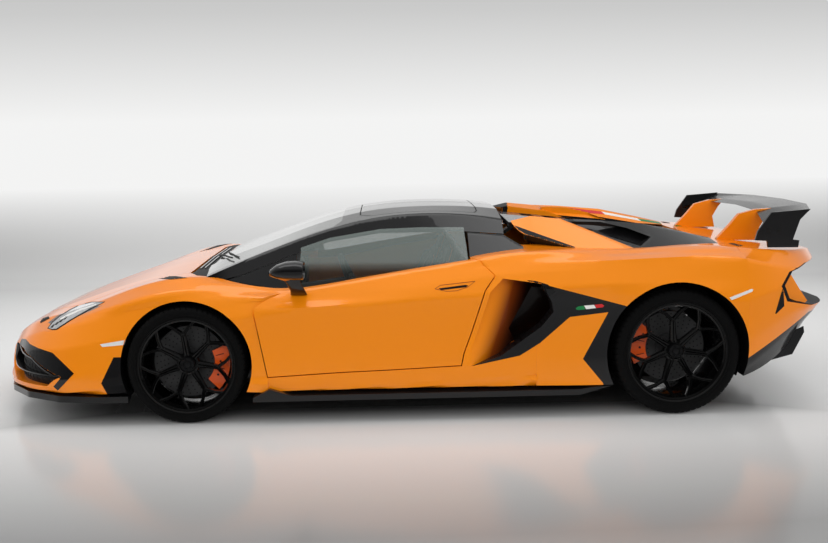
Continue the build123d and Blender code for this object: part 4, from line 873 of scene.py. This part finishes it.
for name, lift, material, slot, outlines in LAMP_PLATES:
    patch(name, outlines, from_view, LAMP_NODES, material, slot, longest=VIEW_STEP, lift=lift)
for name, finish_name, slot, under, outline in VIEW_PLATES:
    patch(name, [outline], from_view_far if under == STRIPE_NODES else from_view, under, FINISH[finish_name], slot,
          body="door_{}" if under == "door_left" else "body",
          longest=FINE_VIEW_STEP if name == "intake_corner" else VIEW_STEP)
patch("endplate_bolts", [[(u + a, v + b) for a, b in circle(12, BOLT_PIXELS)] for u, v in ENDPLATE_BOLTS],
      from_view, "wing", FINISH["slot"], "carbon", longest=VIEW_STEP)


# --- wheel-well liners, grilles and aero pieces
# Wheel-well liner: thickness, height of the wall behind the wheel, and how its ribbed arch is cut.
LINER_THICK, LINER_WALL = 0.003, 0.175
LINER_CUTS, LINER_FIRST, LINER_STEP = 40, -24, 5.7  # the last two in degrees
LINER_RIB = 0.0015


def liner(name, axle, radius, inner, outer):
    """A moulded well liner: a ribbed arch over the wheel and a wall behind it, open round the hub carrier."""
    axle_x, axle_z = AXLES[axle]
    parts = []
    behind = inner - LINER_THICK
    for section in (((inner, 0), (outer, 0), (outer, LINER_THICK), (inner, LINER_THICK)),
                    ((inner, -LINER_WALL), (inner, 0), (behind, 0), (behind, -LINER_WALL))):
        rings = []
        for step in range(LINER_CUTS + 1):
            turn, r = radians(LINER_FIRST + LINER_STEP * step), radius + LINER_RIB * sin(2.4 * step)
            rings.append([(axle_x + (r + t) * cos(turn), y, axle_z + (r + t) * sin(turn)) for y, t in section])
        parts.append(swept(rings))
    pair(name, parts, FINISH["satin"], "black_plastic")


liner("front_liners", "front", 0.3985, 0.562, 0.850)
liner("rear_liners", "rear", 0.3925, 0.610, 0.930)


def inside(u, v, outline):
    """True if the point is inside the outline."""
    hit = False
    for (a, b), (c, d) in zip(outline, outline[1:] + outline[:1]):
        if (b > v) != (d > v) and u < (c - a) * (v - b) / (d - b) + a:
            hit = not hit
    return hit


CELL_WALL, CELL_SINK = 0.004, 0.002
CELL_WIDE, CELL_HIGH = 0.577, 0.866  # of the pitch, for six-sided cells


def honeycomb(name, outline, ray, names, pitch, lift, both=False):
    """Six-sided cells with thin walls, cast onto the named nodes."""
    us, vs = zip(*outline)
    wide, high = pitch * CELL_WIDE, pitch * CELL_HIGH
    sections = ((wide, lift), (wide - CELL_WALL, lift), (wide - CELL_WALL, -CELL_SINK), (wide, -CELL_SINK))
    parts = []
    for row in range(int((max(vs) - min(vs)) / high) + 2):
        for column in range(int((max(us) - min(us)) / pitch) + 2):
            u, v = min(us) + (column + 0.5 * (row % 2)) * pitch, min(vs) + row * high
            if inside(u, v, outline):
                rings = [[cast(u + size * cos(t), v + size * sin(t), ray, names, out) for t in turns(6, pi / 6)]
                         for size, out in sections]
                if not any(point is None for ring in rings for point in ring):
                    parts.append(swept(rings, closed=True))
    parts = outward(parts)
    mesh_piece(name, parts + mirrored(parts) if both else parts, FINISH["satin"], "body", "black_plastic")


INTAKE_MESH = [(0.300, 0.345), (0.560, 0.386), (0.700, 0.378), (0.790, 0.345), (0.905, 0.262), (0.870, 0.212),
               (0.335, 0.206)]
NOSE_MESH = [(-0.26, 0.300), (-0.17, 0.258), (0.17, 0.258), (0.26, 0.300), (0.262, 0.205), (-0.262, 0.205)]
honeycomb("intake_mesh", INTAKE_MESH, from_nose, "front_trim", 0.034, 0.004, both=True)
honeycomb("nose_mesh", NOSE_MESH, from_nose, "front_trim", 0.034, 0.004)
# Blades across the intake: ends of the lower edge (y, z), cuts, height and depth.
BLADES = (((0.345, 0.262), (0.885, 0.262), 12, 0.007, 0.050), ((0.560, 0.374), (0.780, 0.338), 6, 0.010, 0.056),
          ((0.780, 0.338), (0.900, 0.262), 4, 0.010, 0.056), ((0.330, 0.230), (0.430, 0.352), 6, 0.012, 0.060))


def blade(first, last, cuts, height, depth):
    """A ribbon across an opening, standing out from the surface behind it."""
    rings = []
    for k in range(cuts + 1):
        y, z = (a + (b - a) * k / cuts for a, b in zip(first, last))
        back, front = (cast(y, z, from_nose, "front_trim", lift) for lift in (-0.004, depth))
        rise = Vector((0, 0, height))
        rings.append([back, front, front + rise, back + rise])
    return swept(rings)


pair("intake_blades", [blade(*row) for row in BLADES], FINISH["gloss"], "black_paint")

# The back of the rear side vents: black outside, painted inside.
VENT_BACK = [(-0.955, 1.050), (-1.005, 1.004), (-1.330, 0.915), (-1.410, 0.958), (-1.290, 1.004), (-1.141, 1.042)]
for name, low, finish_name in (("vent_backs", 0.506, "slot"), ("vent_inner_faces", 0.500, "paint")):
    pair(name, [slab(VENT_BACK, low, low + 0.006, upright)], FINISH[finish_name], "body_paint")

# Diffuser fins: side outline, and each fin's y and how far back it starts.
FIN_SIDE = [(-1.93, 0.250), (-1.95, 0.285), (-2.10, 0.360), (-2.27, 0.440), (-2.275, 0.406), (-2.211, 0.278),
            (-2.084, 0.245)]
FIN_PLACES, FIN_HALF = ((0.16, 0.15), (0.38, 0.12), (0.60, 0.06), (0.80, 0.0)), 0.004
pair("diffuser_fins", [slab([(x - back, z) for x, z in FIN_SIDE], y - FIN_HALF, y + FIN_HALF, upright)
                       for y, back in FIN_PLACES], FINISH["carbon"], "carbon")
CHEEK_SIDE = [(-2.095, 0.735), (-2.160, 0.748), (-2.230, 0.655), (-2.285, 0.590), (-2.260, 0.575), (-2.140, 0.605),
              (-2.095, 0.640)]
pair("tail_cheeks", [slab(CHEEK_SIDE, 0.860, 0.896, lambda x, z, y: Vector((x, y - 0.5 * max(-2.10 - x, 0.0), z)))],
     FINISH["paint"], "body_paint")

# The tail: a panel behind the opening, forked lenses and their beds, and a mesh over both.
TAIL_PANEL = [(-0.640, 0.596), (0.640, 0.596), (0.640, 0.776), (-0.640, 0.776)]
TAIL_PANEL_X, TAIL_PANEL_THICK = -2.128, 0.012
TAIL_NODES = "rear_grille tail_panel"
LAMP_ARM = [(-0.008, 0.612), (0.008, 0.612), (0.008, 0.652), (0.050, 0.694), (0.050, 0.716), (0, 0.668),
            (-0.040, 0.716), (-0.040, 0.694), (-0.008, 0.655)]
LAMP_ARM_PLACES = (0.46, 0.58, 0.70, 0.82)
LAMP_BED = [(0.640, 0.604), (0.875, 0.604), (0.885, 0.730), (0.640, 0.726)]
TAIL_MESH = [(-0.86, 0.60), (-0.86, 0.74), (-0.30, 0.70), (0.30, 0.70), (0.86, 0.74), (0.86, 0.60), (0.50, 0.575),
             (-0.50, 0.575)]
tail_panel = slab(TAIL_PANEL, TAIL_PANEL_X, TAIL_PANEL_X + TAIL_PANEL_THICK, lambda y, z, x: Vector((x, y, z)))
mesh_piece("tail_panel", outward([tail_panel]), FINISH["slot"], "body", "black_plastic")
TREES[TAIL_NODES] = BVHTree.FromPolygons(*joined([node_surface("rear_grille"), tail_panel]))
arms = [laid([(y + place, z) for y, z in LAMP_ARM], from_tail, TAIL_NODES, SKIN_STEP, 0.022, 0.002)
        for place in LAMP_ARM_PLACES]
tail_lamps = mesh_piece("tail_lamp_lenses", arms + mirrored(arms), MATERIALS["rear_lens"], "body", "rear_lens")
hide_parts("tail_lamps")
patch("tail_lamp_beds", [LAMP_BED], from_tail, "rear_grille", FINISH["gloss"], "black_plastic", lift=0.006)
honeycomb("tail_mesh", TAIL_MESH, from_tail, TAIL_NODES, 0.040, 0.007)

# --- seats and steering wheel
SEAT_Y, SEAT_HALF = 0.370, 0.228
SEAT_SHELL = [(0.478, 0.186), (0.486, 0.236), (0.060, 0.226), (-0.120, 0.236), (-0.232, 0.560), (-0.300, 0.800),
              (-0.318, 0.872), (-0.350, 0.862), (-0.300, 0.560), (-0.250, 0.260), (-0.180, 0.190)]
# Pads: name, centre (x, z), lean, (length, width, thickness), out from the seat's middle, channels along the pad.
PADS = (("seat_pad", (0.195, 0.272), 7, (0.500, 0.325, 0.096), 0, (-0.085, 0.085)),
        ("back_pad", (-0.158, 0.560), -71.5, (0.560, 0.315, 0.088), 0, (-0.080, 0.080)),
        ("thigh_bolster", (0.200, 0.300), 7, (0.470, 0.078, 0.120), 0.196, ()),
        ("back_bolster", (-0.128, 0.545), -71.5, (0.470, 0.078, 0.124), 0.196, ()),
        ("head_pad", (-0.262, 0.832), -74, (0.130, 0.250, 0.070), 0, ()))
PAD_STEP, PAD_SWELL, PAD_FRAMES = 0.014, 0.012, 15
CHANNEL_DEEP, CHANNEL_WIDE = 0.010, 0.008
PIPING_R = 0.0028


def pad_form(length, width, thick):
    """A flat-edged lens: two crowned faces that meet at a seam, its sides pulled in between the corners."""
    rows, columns = max(8, round(length / PAD_STEP)), max(6, round(width / PAD_STEP))
    points, index, faces = [], {}, []
    for face in (1, -1):
        for i in range(rows + 1):
            for j in range(columns + 1):
                u, v = 2 * i / rows - 1, 2 * j / columns - 1
                if face < 0 and (abs(u) == 1 or abs(v) == 1):
                    index[face, i, j] = index[1, i, j]
                    continue
                crown = ((1 - u ** 6) * (1 - v ** 6)) ** 0.4
                pull = 1 - 0.05 * (1 - abs(v)) * u * u, 1 - 0.05 * (1 - abs(u)) * v * v
                index[face, i, j] = len(points)
                points.append(Vector((u * length / 2 * pull[0], v * width / 2 * pull[1], face * crown * thick / 2)))
        for i in range(rows):
            for j in range(columns):
                ring = [index[face, i, j], index[face, i + 1, j], index[face, i + 1, j + 1], index[face, i, j + 1]]
                faces.append(ring[::face])
    seam = [index[1, i, 0] for i in range(rows)] + [index[1, rows, j] for j in range(columns)]
    seam += [index[1, rows - i, columns] for i in range(rows)] + [index[1, 0, columns - j] for j in range(columns)]
    return points, faces, seam


def swollen(points, faces, cap):
    """The pad after its filling has pressed its cover out, with no point moved by more than cap."""
    mesh = bpy.data.meshes.new("pad")
    mesh.from_pydata(points, [], faces)
    pad = bpy.data.objects.new("pad", mesh)
    scene = bpy.context.scene
    scene.collection.objects.link(pad)
    cloth = pad.modifiers.new("Cloth", "CLOTH").settings
    cloth.use_pressure = True
    cloth.uniform_pressure_force = 4.0
    cloth.effector_weights.gravity = 0.0
    cloth.quality = 4
    for frame_number in range(1, PAD_FRAMES + 1):
        scene.frame_set(frame_number)
    solved = pad.evaluated_get(bpy.context.evaluated_depsgraph_get()).data
    moves = [vertex.co - start for start, vertex in zip(points, solved.vertices)]
    bpy.data.objects.remove(pad)
    bpy.data.meshes.remove(mesh)
    scene.frame_set(1)
    return [start + move * min(1.0, cap / max(move.length, 1e-9)) for start, move in zip(points, moves)]


def pads():
    """The sewn pads of both seats, each with its piping."""
    piping = plain("orange_piping", (0.85, 0.20, 0.01), 0.55, 900, 0.3)
    for name, (x, z), lean, (length, width, thick), out, channels in PADS:
        points, faces, seam = pad_form(length - PAD_SWELL, width - PAD_SWELL, thick - 2 * PAD_SWELL)
        points = swollen(points, faces, PAD_SWELL)
        for point in points:
            if point.z > 0:
                point.z -= sum(CHANNEL_DEEP * exp(-((point.y - channel) / CHANNEL_WIDE) ** 2) for channel in channels)
        turn = Matrix.Rotation(-radians(lean), 3, "Y")
        for side_name, side in SIDES:
            for place in (-out, out) if out else (0,):
                suffix = side_name + ("" if not out else "_outer" if place * side > 0 else "_inner")
                turned = [Vector((x, side * SEAT_Y + place, z)) + turn @ point for point in points]
                pad = mesh_piece(f"{name}_{suffix}", [(turned, faces)], MATERIALS["leather"], "body", "leather", 60)
                mesh_piece(f"{name}_piping_{suffix}",
                           [tube([turned[k] for k in seam], [PIPING_R] * len(seam), 6, closed=True)],
                           piping, "body", "leather")


pads()
seat_shells = pair("seat_shells", [slab(SEAT_SHELL, SEAT_Y - SEAT_HALF, SEAT_Y + SEAT_HALF, upright)],
                   MATERIALS["black_plastic"], "leather")
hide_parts("seats")

STEER_CENTRE = Vector((0.330, 0.370, 0.690))
STEER_TILT = radians(22)
STEER_R, STEER_FLAT = 0.163, -0.132
# Its spokes: where they end (across, up) and their half width; then share of the length, and out from the rim's plane.
STEER_SPOKES = ((0.150, 0.012, 0.017), (-0.150, 0.012, 0.017), (0, -0.130, 0.020))
STEER_RISE, STEER_THICK = ((0.22, 0.020), (0.6, 0.008), (1, 0)), 0.007
COLUMN_END, COLUMN_R = Vector((0.700, 0.370, 0.640)), 0.032


def on_wheel(across, up, out=0.0):
    """A point of the steering wheel: across and up in its plane, out towards the driver."""
    rise = Vector((sin(STEER_TILT), 0, cos(STEER_TILT)))
    facing = Vector((-cos(STEER_TILT), 0, sin(STEER_TILT)))
    return STEER_CENTRE + Vector((0, across, 0)) + rise * up + facing * out


def steering_wheel():
    """A thick rim, flat at the bottom, on three spokes, with its padded boss and column."""
    ring = [on_wheel(across, max(up, STEER_FLAT)) for across, up in circle(72, STEER_R)]
    parts = [tube(ring, [0.0145 + 0.0015 * cos(4 * turn) for turn in turns(72)], 12, closed=True)]
    for across, up, half in STEER_SPOKES:
        tip, aside = Vector((across, up, 0)), Vector((-up, across, 0)).normalized() * half
        rings = []
        for share, out in STEER_RISE:
            spots = [(tip * share + aside * sign * (1.15 - 0.35 * share), out + depth)
                     for sign, depth in ((1, STEER_THICK), (-1, STEER_THICK), (-1, -STEER_THICK), (1, -STEER_THICK))]
            rings.append([on_wheel(spot.x, spot.y, depth) for spot, depth in spots])
        parts.append(swept(rings))
    boss = [(0.046 * cos(t) * (1 + 0.12 * cos(2 * t)), 0.044 * sin(t)) for t in turns(24)]
    parts += [slab(boss, -0.010, 0.028, on_wheel), tube([STEER_CENTRE, COLUMN_END], [COLUMN_R] * 2, 16)]
    made = mesh_piece("steering_wheel_rim", outward(parts), MATERIALS["leather"], "body", "leather", 40)
    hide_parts("steering_wheel")


steering_wheel()

# --- mirrors, cowl and wiper
MIRROR_Y = 1.030
# Mirror head and its glass: x, half width, half height, middle z.
MIRROR_ROWS = ((0.750, 0.012, 0.006, 0.838), (0.738, 0.042, 0.020, 0.841), (0.704, 0.074, 0.037, 0.848),
               (0.655, 0.090, 0.048, 0.852), (0.604, 0.093, 0.051, 0.852), (0.566, 0.089, 0.048, 0.850),
               (0.560, 0.083, 0.043, 0.850), (0.574, 0.078, 0.039, 0.850))
GLASS_ROWS = ((0.5755, 0.076, 0.037, 0.850), (0.5725, 0.076, 0.037, 0.850))
# Mirror arm and its painted trim: middle x, y, z and half length.
ARM_ROWS = ((0.640, 1.000, 0.818, 0.052), (0.622, 0.978, 0.775, 0.040), (0.604, 0.950, 0.730, 0.040),
            (0.600, 0.922, 0.700, 0.046))
TRIM_ROWS = ((0.690, 1.004, 0.812, 0.030), (0.668, 0.990, 0.800, 0.034), (0.640, 0.978, 0.788, 0.030))


def rounded(value, power=0.8):
    return copysign(abs(value) ** power, value)


def head(rows):
    return swept([[(x, MIRROR_Y + half_w * rounded(cos(t)), z + half_h * rounded(sin(t))) for t in turns(28)]
                  for x, half_w, half_h, z in rows])


def arm(rows, thick):
    return swept([[(x + half * rounded(cos(t), 0.6), y + thick * rounded(sin(t)), z) for t in turns(16)]
                  for x, y, z, half in rows])


def mirrors():
    for name, parts, material in (
            ("mirror_shell", [head(MIRROR_ROWS), arm(ARM_ROWS, 0.013)], FINISH["gloss"]),
            ("mirror_face", [head(GLASS_ROWS)], MATERIALS["alloy"]),
            ("mirror_accent", [arm(TRIM_ROWS, 0.017)], FINISH["paint"])):
        parts = outward(parts)
        for (side_name, _), side_parts in zip(SIDES, (parts, mirrored(parts))):
            made = mesh_piece(f"{name}_{side_name}", side_parts, material, f"door_{side_name}", "black_paint", 50)
            if name == "mirror_shell":
                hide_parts(f"mirror_{side_name}")


mirrors()

COWL_SLATS = [[(x, -0.52), (x, 0.52), (x + 0.009, 0.50), (x + 0.009, -0.50)] for x in (1.150, 1.176, 1.202, 1.228)]
# Wiper arm and blade: x and y of their points; the arm also has a radius at each.
WIPER = ((1.165, 0.05, 0.009), (1.140, 0.15, 0.008), (1.112, 0.26, 0.007), (1.082, 0.37, 0.006),
         (1.048, 0.48, 0.0055), (1.010, 0.57, 0.005))
WIPER_BLADE = ((1.120, 0.00), (1.098, 0.12), (1.070, 0.24), (1.040, 0.36), (1.006, 0.48), (0.970, 0.58))
patch("cowl_slats", COWL_SLATS, from_top, "cowl", FINISH["gloss"], "black_plastic", longest=0.03, lift=0.007,
      both=False)
mesh_piece("wiper", outward([
    tube([cast(x, y, from_top, "windscreen cowl", 0.014) for x, y, _ in WIPER], [r for _, _, r in WIPER], 8),
    tube([cast(x, y, from_top, "windscreen cowl", 0.006) for x, y in WIPER_BLADE], [0.0042] * len(WIPER_BLADE), 8)]),
    FINISH["satin"], "body", "black_plastic")

# --- calliper marks, and painted shade round the door recess
# Callipers: axle, the way they face in degrees, node and body. Bolts lie on an arc, with slits between them.
CALLIPERS = (("front", 180, "calliper_front_left", "knuckle_{}"), ("rear", 0, "rear_callipers", "body"))
CALLIPER_LEAN, BOLT_ARC_R, BOLT_R = 26, 0.172, 0.0065
SLIT_HALF, SLIT_FROM, SLIT_TO = 0.7, 0.150, 0.196


def around(axle, degrees, radius):
    axle_x, axle_z = AXLES[axle]
    return axle_x + radius * cos(radians(degrees)), axle_z + radius * sin(radians(degrees))


for axle, middle, node, body in CALLIPERS:
    marks = []
    for lean in (-CALLIPER_LEAN, 0, CALLIPER_LEAN):
        x, z = around(axle, middle + lean, BOLT_ARC_R)
        marks.append([(x + a, z + b) for a, b in circle(12, BOLT_R)])
    for lean in (-0.5 * CALLIPER_LEAN, 0.5 * CALLIPER_LEAN):
        marks.append([around(axle, middle + lean + turn, radius) for turn, radius in (
            (-SLIT_HALF, SLIT_FROM), (SLIT_HALF, SLIT_FROM), (SLIT_HALF, SLIT_TO), (-SLIT_HALF, SLIT_TO))])
    patch(f"calliper_marks_{axle}", marks, from_side, node, FINISH["slot"], "calliper", body)

# Painted shade round the door handle's recess: thin strips of darker orange along its outline.
RECESS = [(435, 288.6), (440.5, 285), (475, 281), (467.7, 286.8), (456.8, 290.5), (446, 291)]
patch("door_recess", [[(a, b), (c, d), (c, d + 0.55), (a, b + 0.55)] for (a, b), (c, d) in
                      zip(RECESS, RECESS[1:] + RECESS[:1])], from_view, "door_left",
      plain("recess_shade_orange", (0.30, 0.050, 0.002), 0.5), "body_paint", "door_{}", longest=VIEW_STEP)


# --- studio
def studio_floor():
    """Glossy white floor with a painted pool of light and a painted shadow under the car; the wall behind it fades to
    grey with height.
    """
    s = Shader("studio_floor", grey(0.8), 0.16, Specular_IOR_Level=0.45)
    x, y, z = s.split(s.place())
    far = s.math("SQRT", s.squares(s.times(x, 0.36), s.math("MAXIMUM", y, 0), s.times(s.math("MINIMUM", y, 0), 0.28)))
    # Painted pool of light: the floor's colour is bright near the car, darkest in a ring further out, and lighter again
    # far away.
    painted_light_pool = s.greys(far, 1.1, 6, (0, 0.82), (0.10, 0.66), (0.30, 0.30), (0.45, 0.34), (1, 0.62))
    # Painted shadow: the floor's colour darkens under the car.
    under = s.math("MAXIMUM", s.math("DIVIDE", s.math("ABSOLUTE", x), 2.35),
                   s.math("DIVIDE", s.math("ABSOLUTE", y), 1.02))
    s.set("Base_Color", s.mix(1, painted_light_pool, s.span(under, 0.70, 1.08, to_low=0.10, smooth=True), "MULTIPLY"))
    glow = s.node("Emission")
    s.put(s.greys(z, 0.3, 4.4, (0, 0.90), (0.36, 0.90), (0.75, 0.60), (1, 0.50)), glow.inputs["Color"])
    path = s.node("LightPath").outputs
    seen = s.math("MAXIMUM", path["Is Camera Ray"], s.math(
        "MAXIMUM", path["Is Glossy Ray"], path["Is Transmission Ray"]))
    both = s.node("MixShader")
    s.put(s.times(seen, s.span(z, 0.02, 0.9)), both.inputs["Fac"])
    s.put(s.bsdf.outputs["BSDF"], both.inputs[1])
    s.put(glow.outputs["Emission"], both.inputs[2])
    s.put(both.outputs["Shader"], s.tree.nodes["Material Output"].inputs["Surface"])
    return s.material


def studio_world():
    """Pale light all round, brighter overhead; the side that faces the gloss is darker where no softbox hangs."""
    world = bpy.data.worlds.new("studio")
    world.use_nodes = True
    w = Nodes(world.node_tree)
    _, y, z = w.split(w.node("TexCoord").outputs["Generated"])
    path = w.node("LightPath").outputs
    white = (*grey(1), 1)
    height = w.greys(z, -0.2, 1, (0, 0.55), (0.3, 0.62), (0.75, 0.85), (1, 0.72))
    facing = w.greys(y, -0.2, 0.75, (0, 1), (1, 0.16))
    low_only = w.greys(z, 0.35, 0.8, (0, 0), (1, 1))
    gloss = w.mix(1, height, w.mix(low_only, facing, white), "MULTIPLY")
    lit = w.mix(path["Is Glossy Ray"], height, gloss)
    back = w.tree.nodes["Background"].inputs
    w.put(w.mix(path["Is Camera Ray"], lit, w.greys(z, -0.05, 0.5, (0, 0.86), (1, 0.62))), back["Color"])
    w.put(WORLD_LEVEL, back["Strength"])
    bpy.context.scene.world = world


def studio():
    """White cyclorama, a large softbox above, and fill lamps from the sides that leave no glare."""
    scene = bpy.context.scene
    scene.view_settings.view_transform = "Standard"
    studio_world()
    half, radius, back = 40, 5, -9
    rows = [(half, 0), (back + radius, 0)]
    rows += [(back + radius * (1 - sin(a)), radius * (1 - cos(a))) for a in (radians(6 * k) for k in range(1, 16))]
    rows.append((back, 16))
    mesh = bpy.data.meshes.new("floor")
    mesh.from_pydata([(x, y, z) for y, z in rows for x in (-half, half)], [],
                     [(k, k + 1, k + 3, k + 2) for k in range(0, 2 * len(rows) - 2, 2)])
    mesh.shade_smooth()
    mesh.materials.append(studio_floor())
    floor = bpy.data.objects.new("floor", mesh)
    scene.collection.objects.link(floor)
    for name, place, turn, size, power, glare in LAMPS:
        lamp = bpy.data.lights.new(name, "AREA")
        lamp.shape = "RECTANGLE"
        lamp.size, lamp.size_y = size
        lamp.energy = power
        made = bpy.data.objects.new(name, lamp)
        made.location = place
        made.rotation_euler = [radians(angle) for angle in turn]
        made.visible_glossy = glare
        scene.collection.objects.link(made)


def camera():
    """The camera at the photograph's viewing angle."""
    lens = bpy.data.cameras.new("camera")
    lens.lens = CAMERA_LENS_MM
    lens.sensor_width = SENSOR_MM
    lens.clip_end = 100
    made = bpy.data.objects.new("camera", lens)
    made.matrix_world = Matrix.Translation(CAMERA_PLACE) @ Matrix((RIGHT, UP, -FORWARD)).transposed().to_4x4()
    bpy.context.scene.collection.objects.link(made)
    bpy.context.scene.camera = made


studio()
camera()
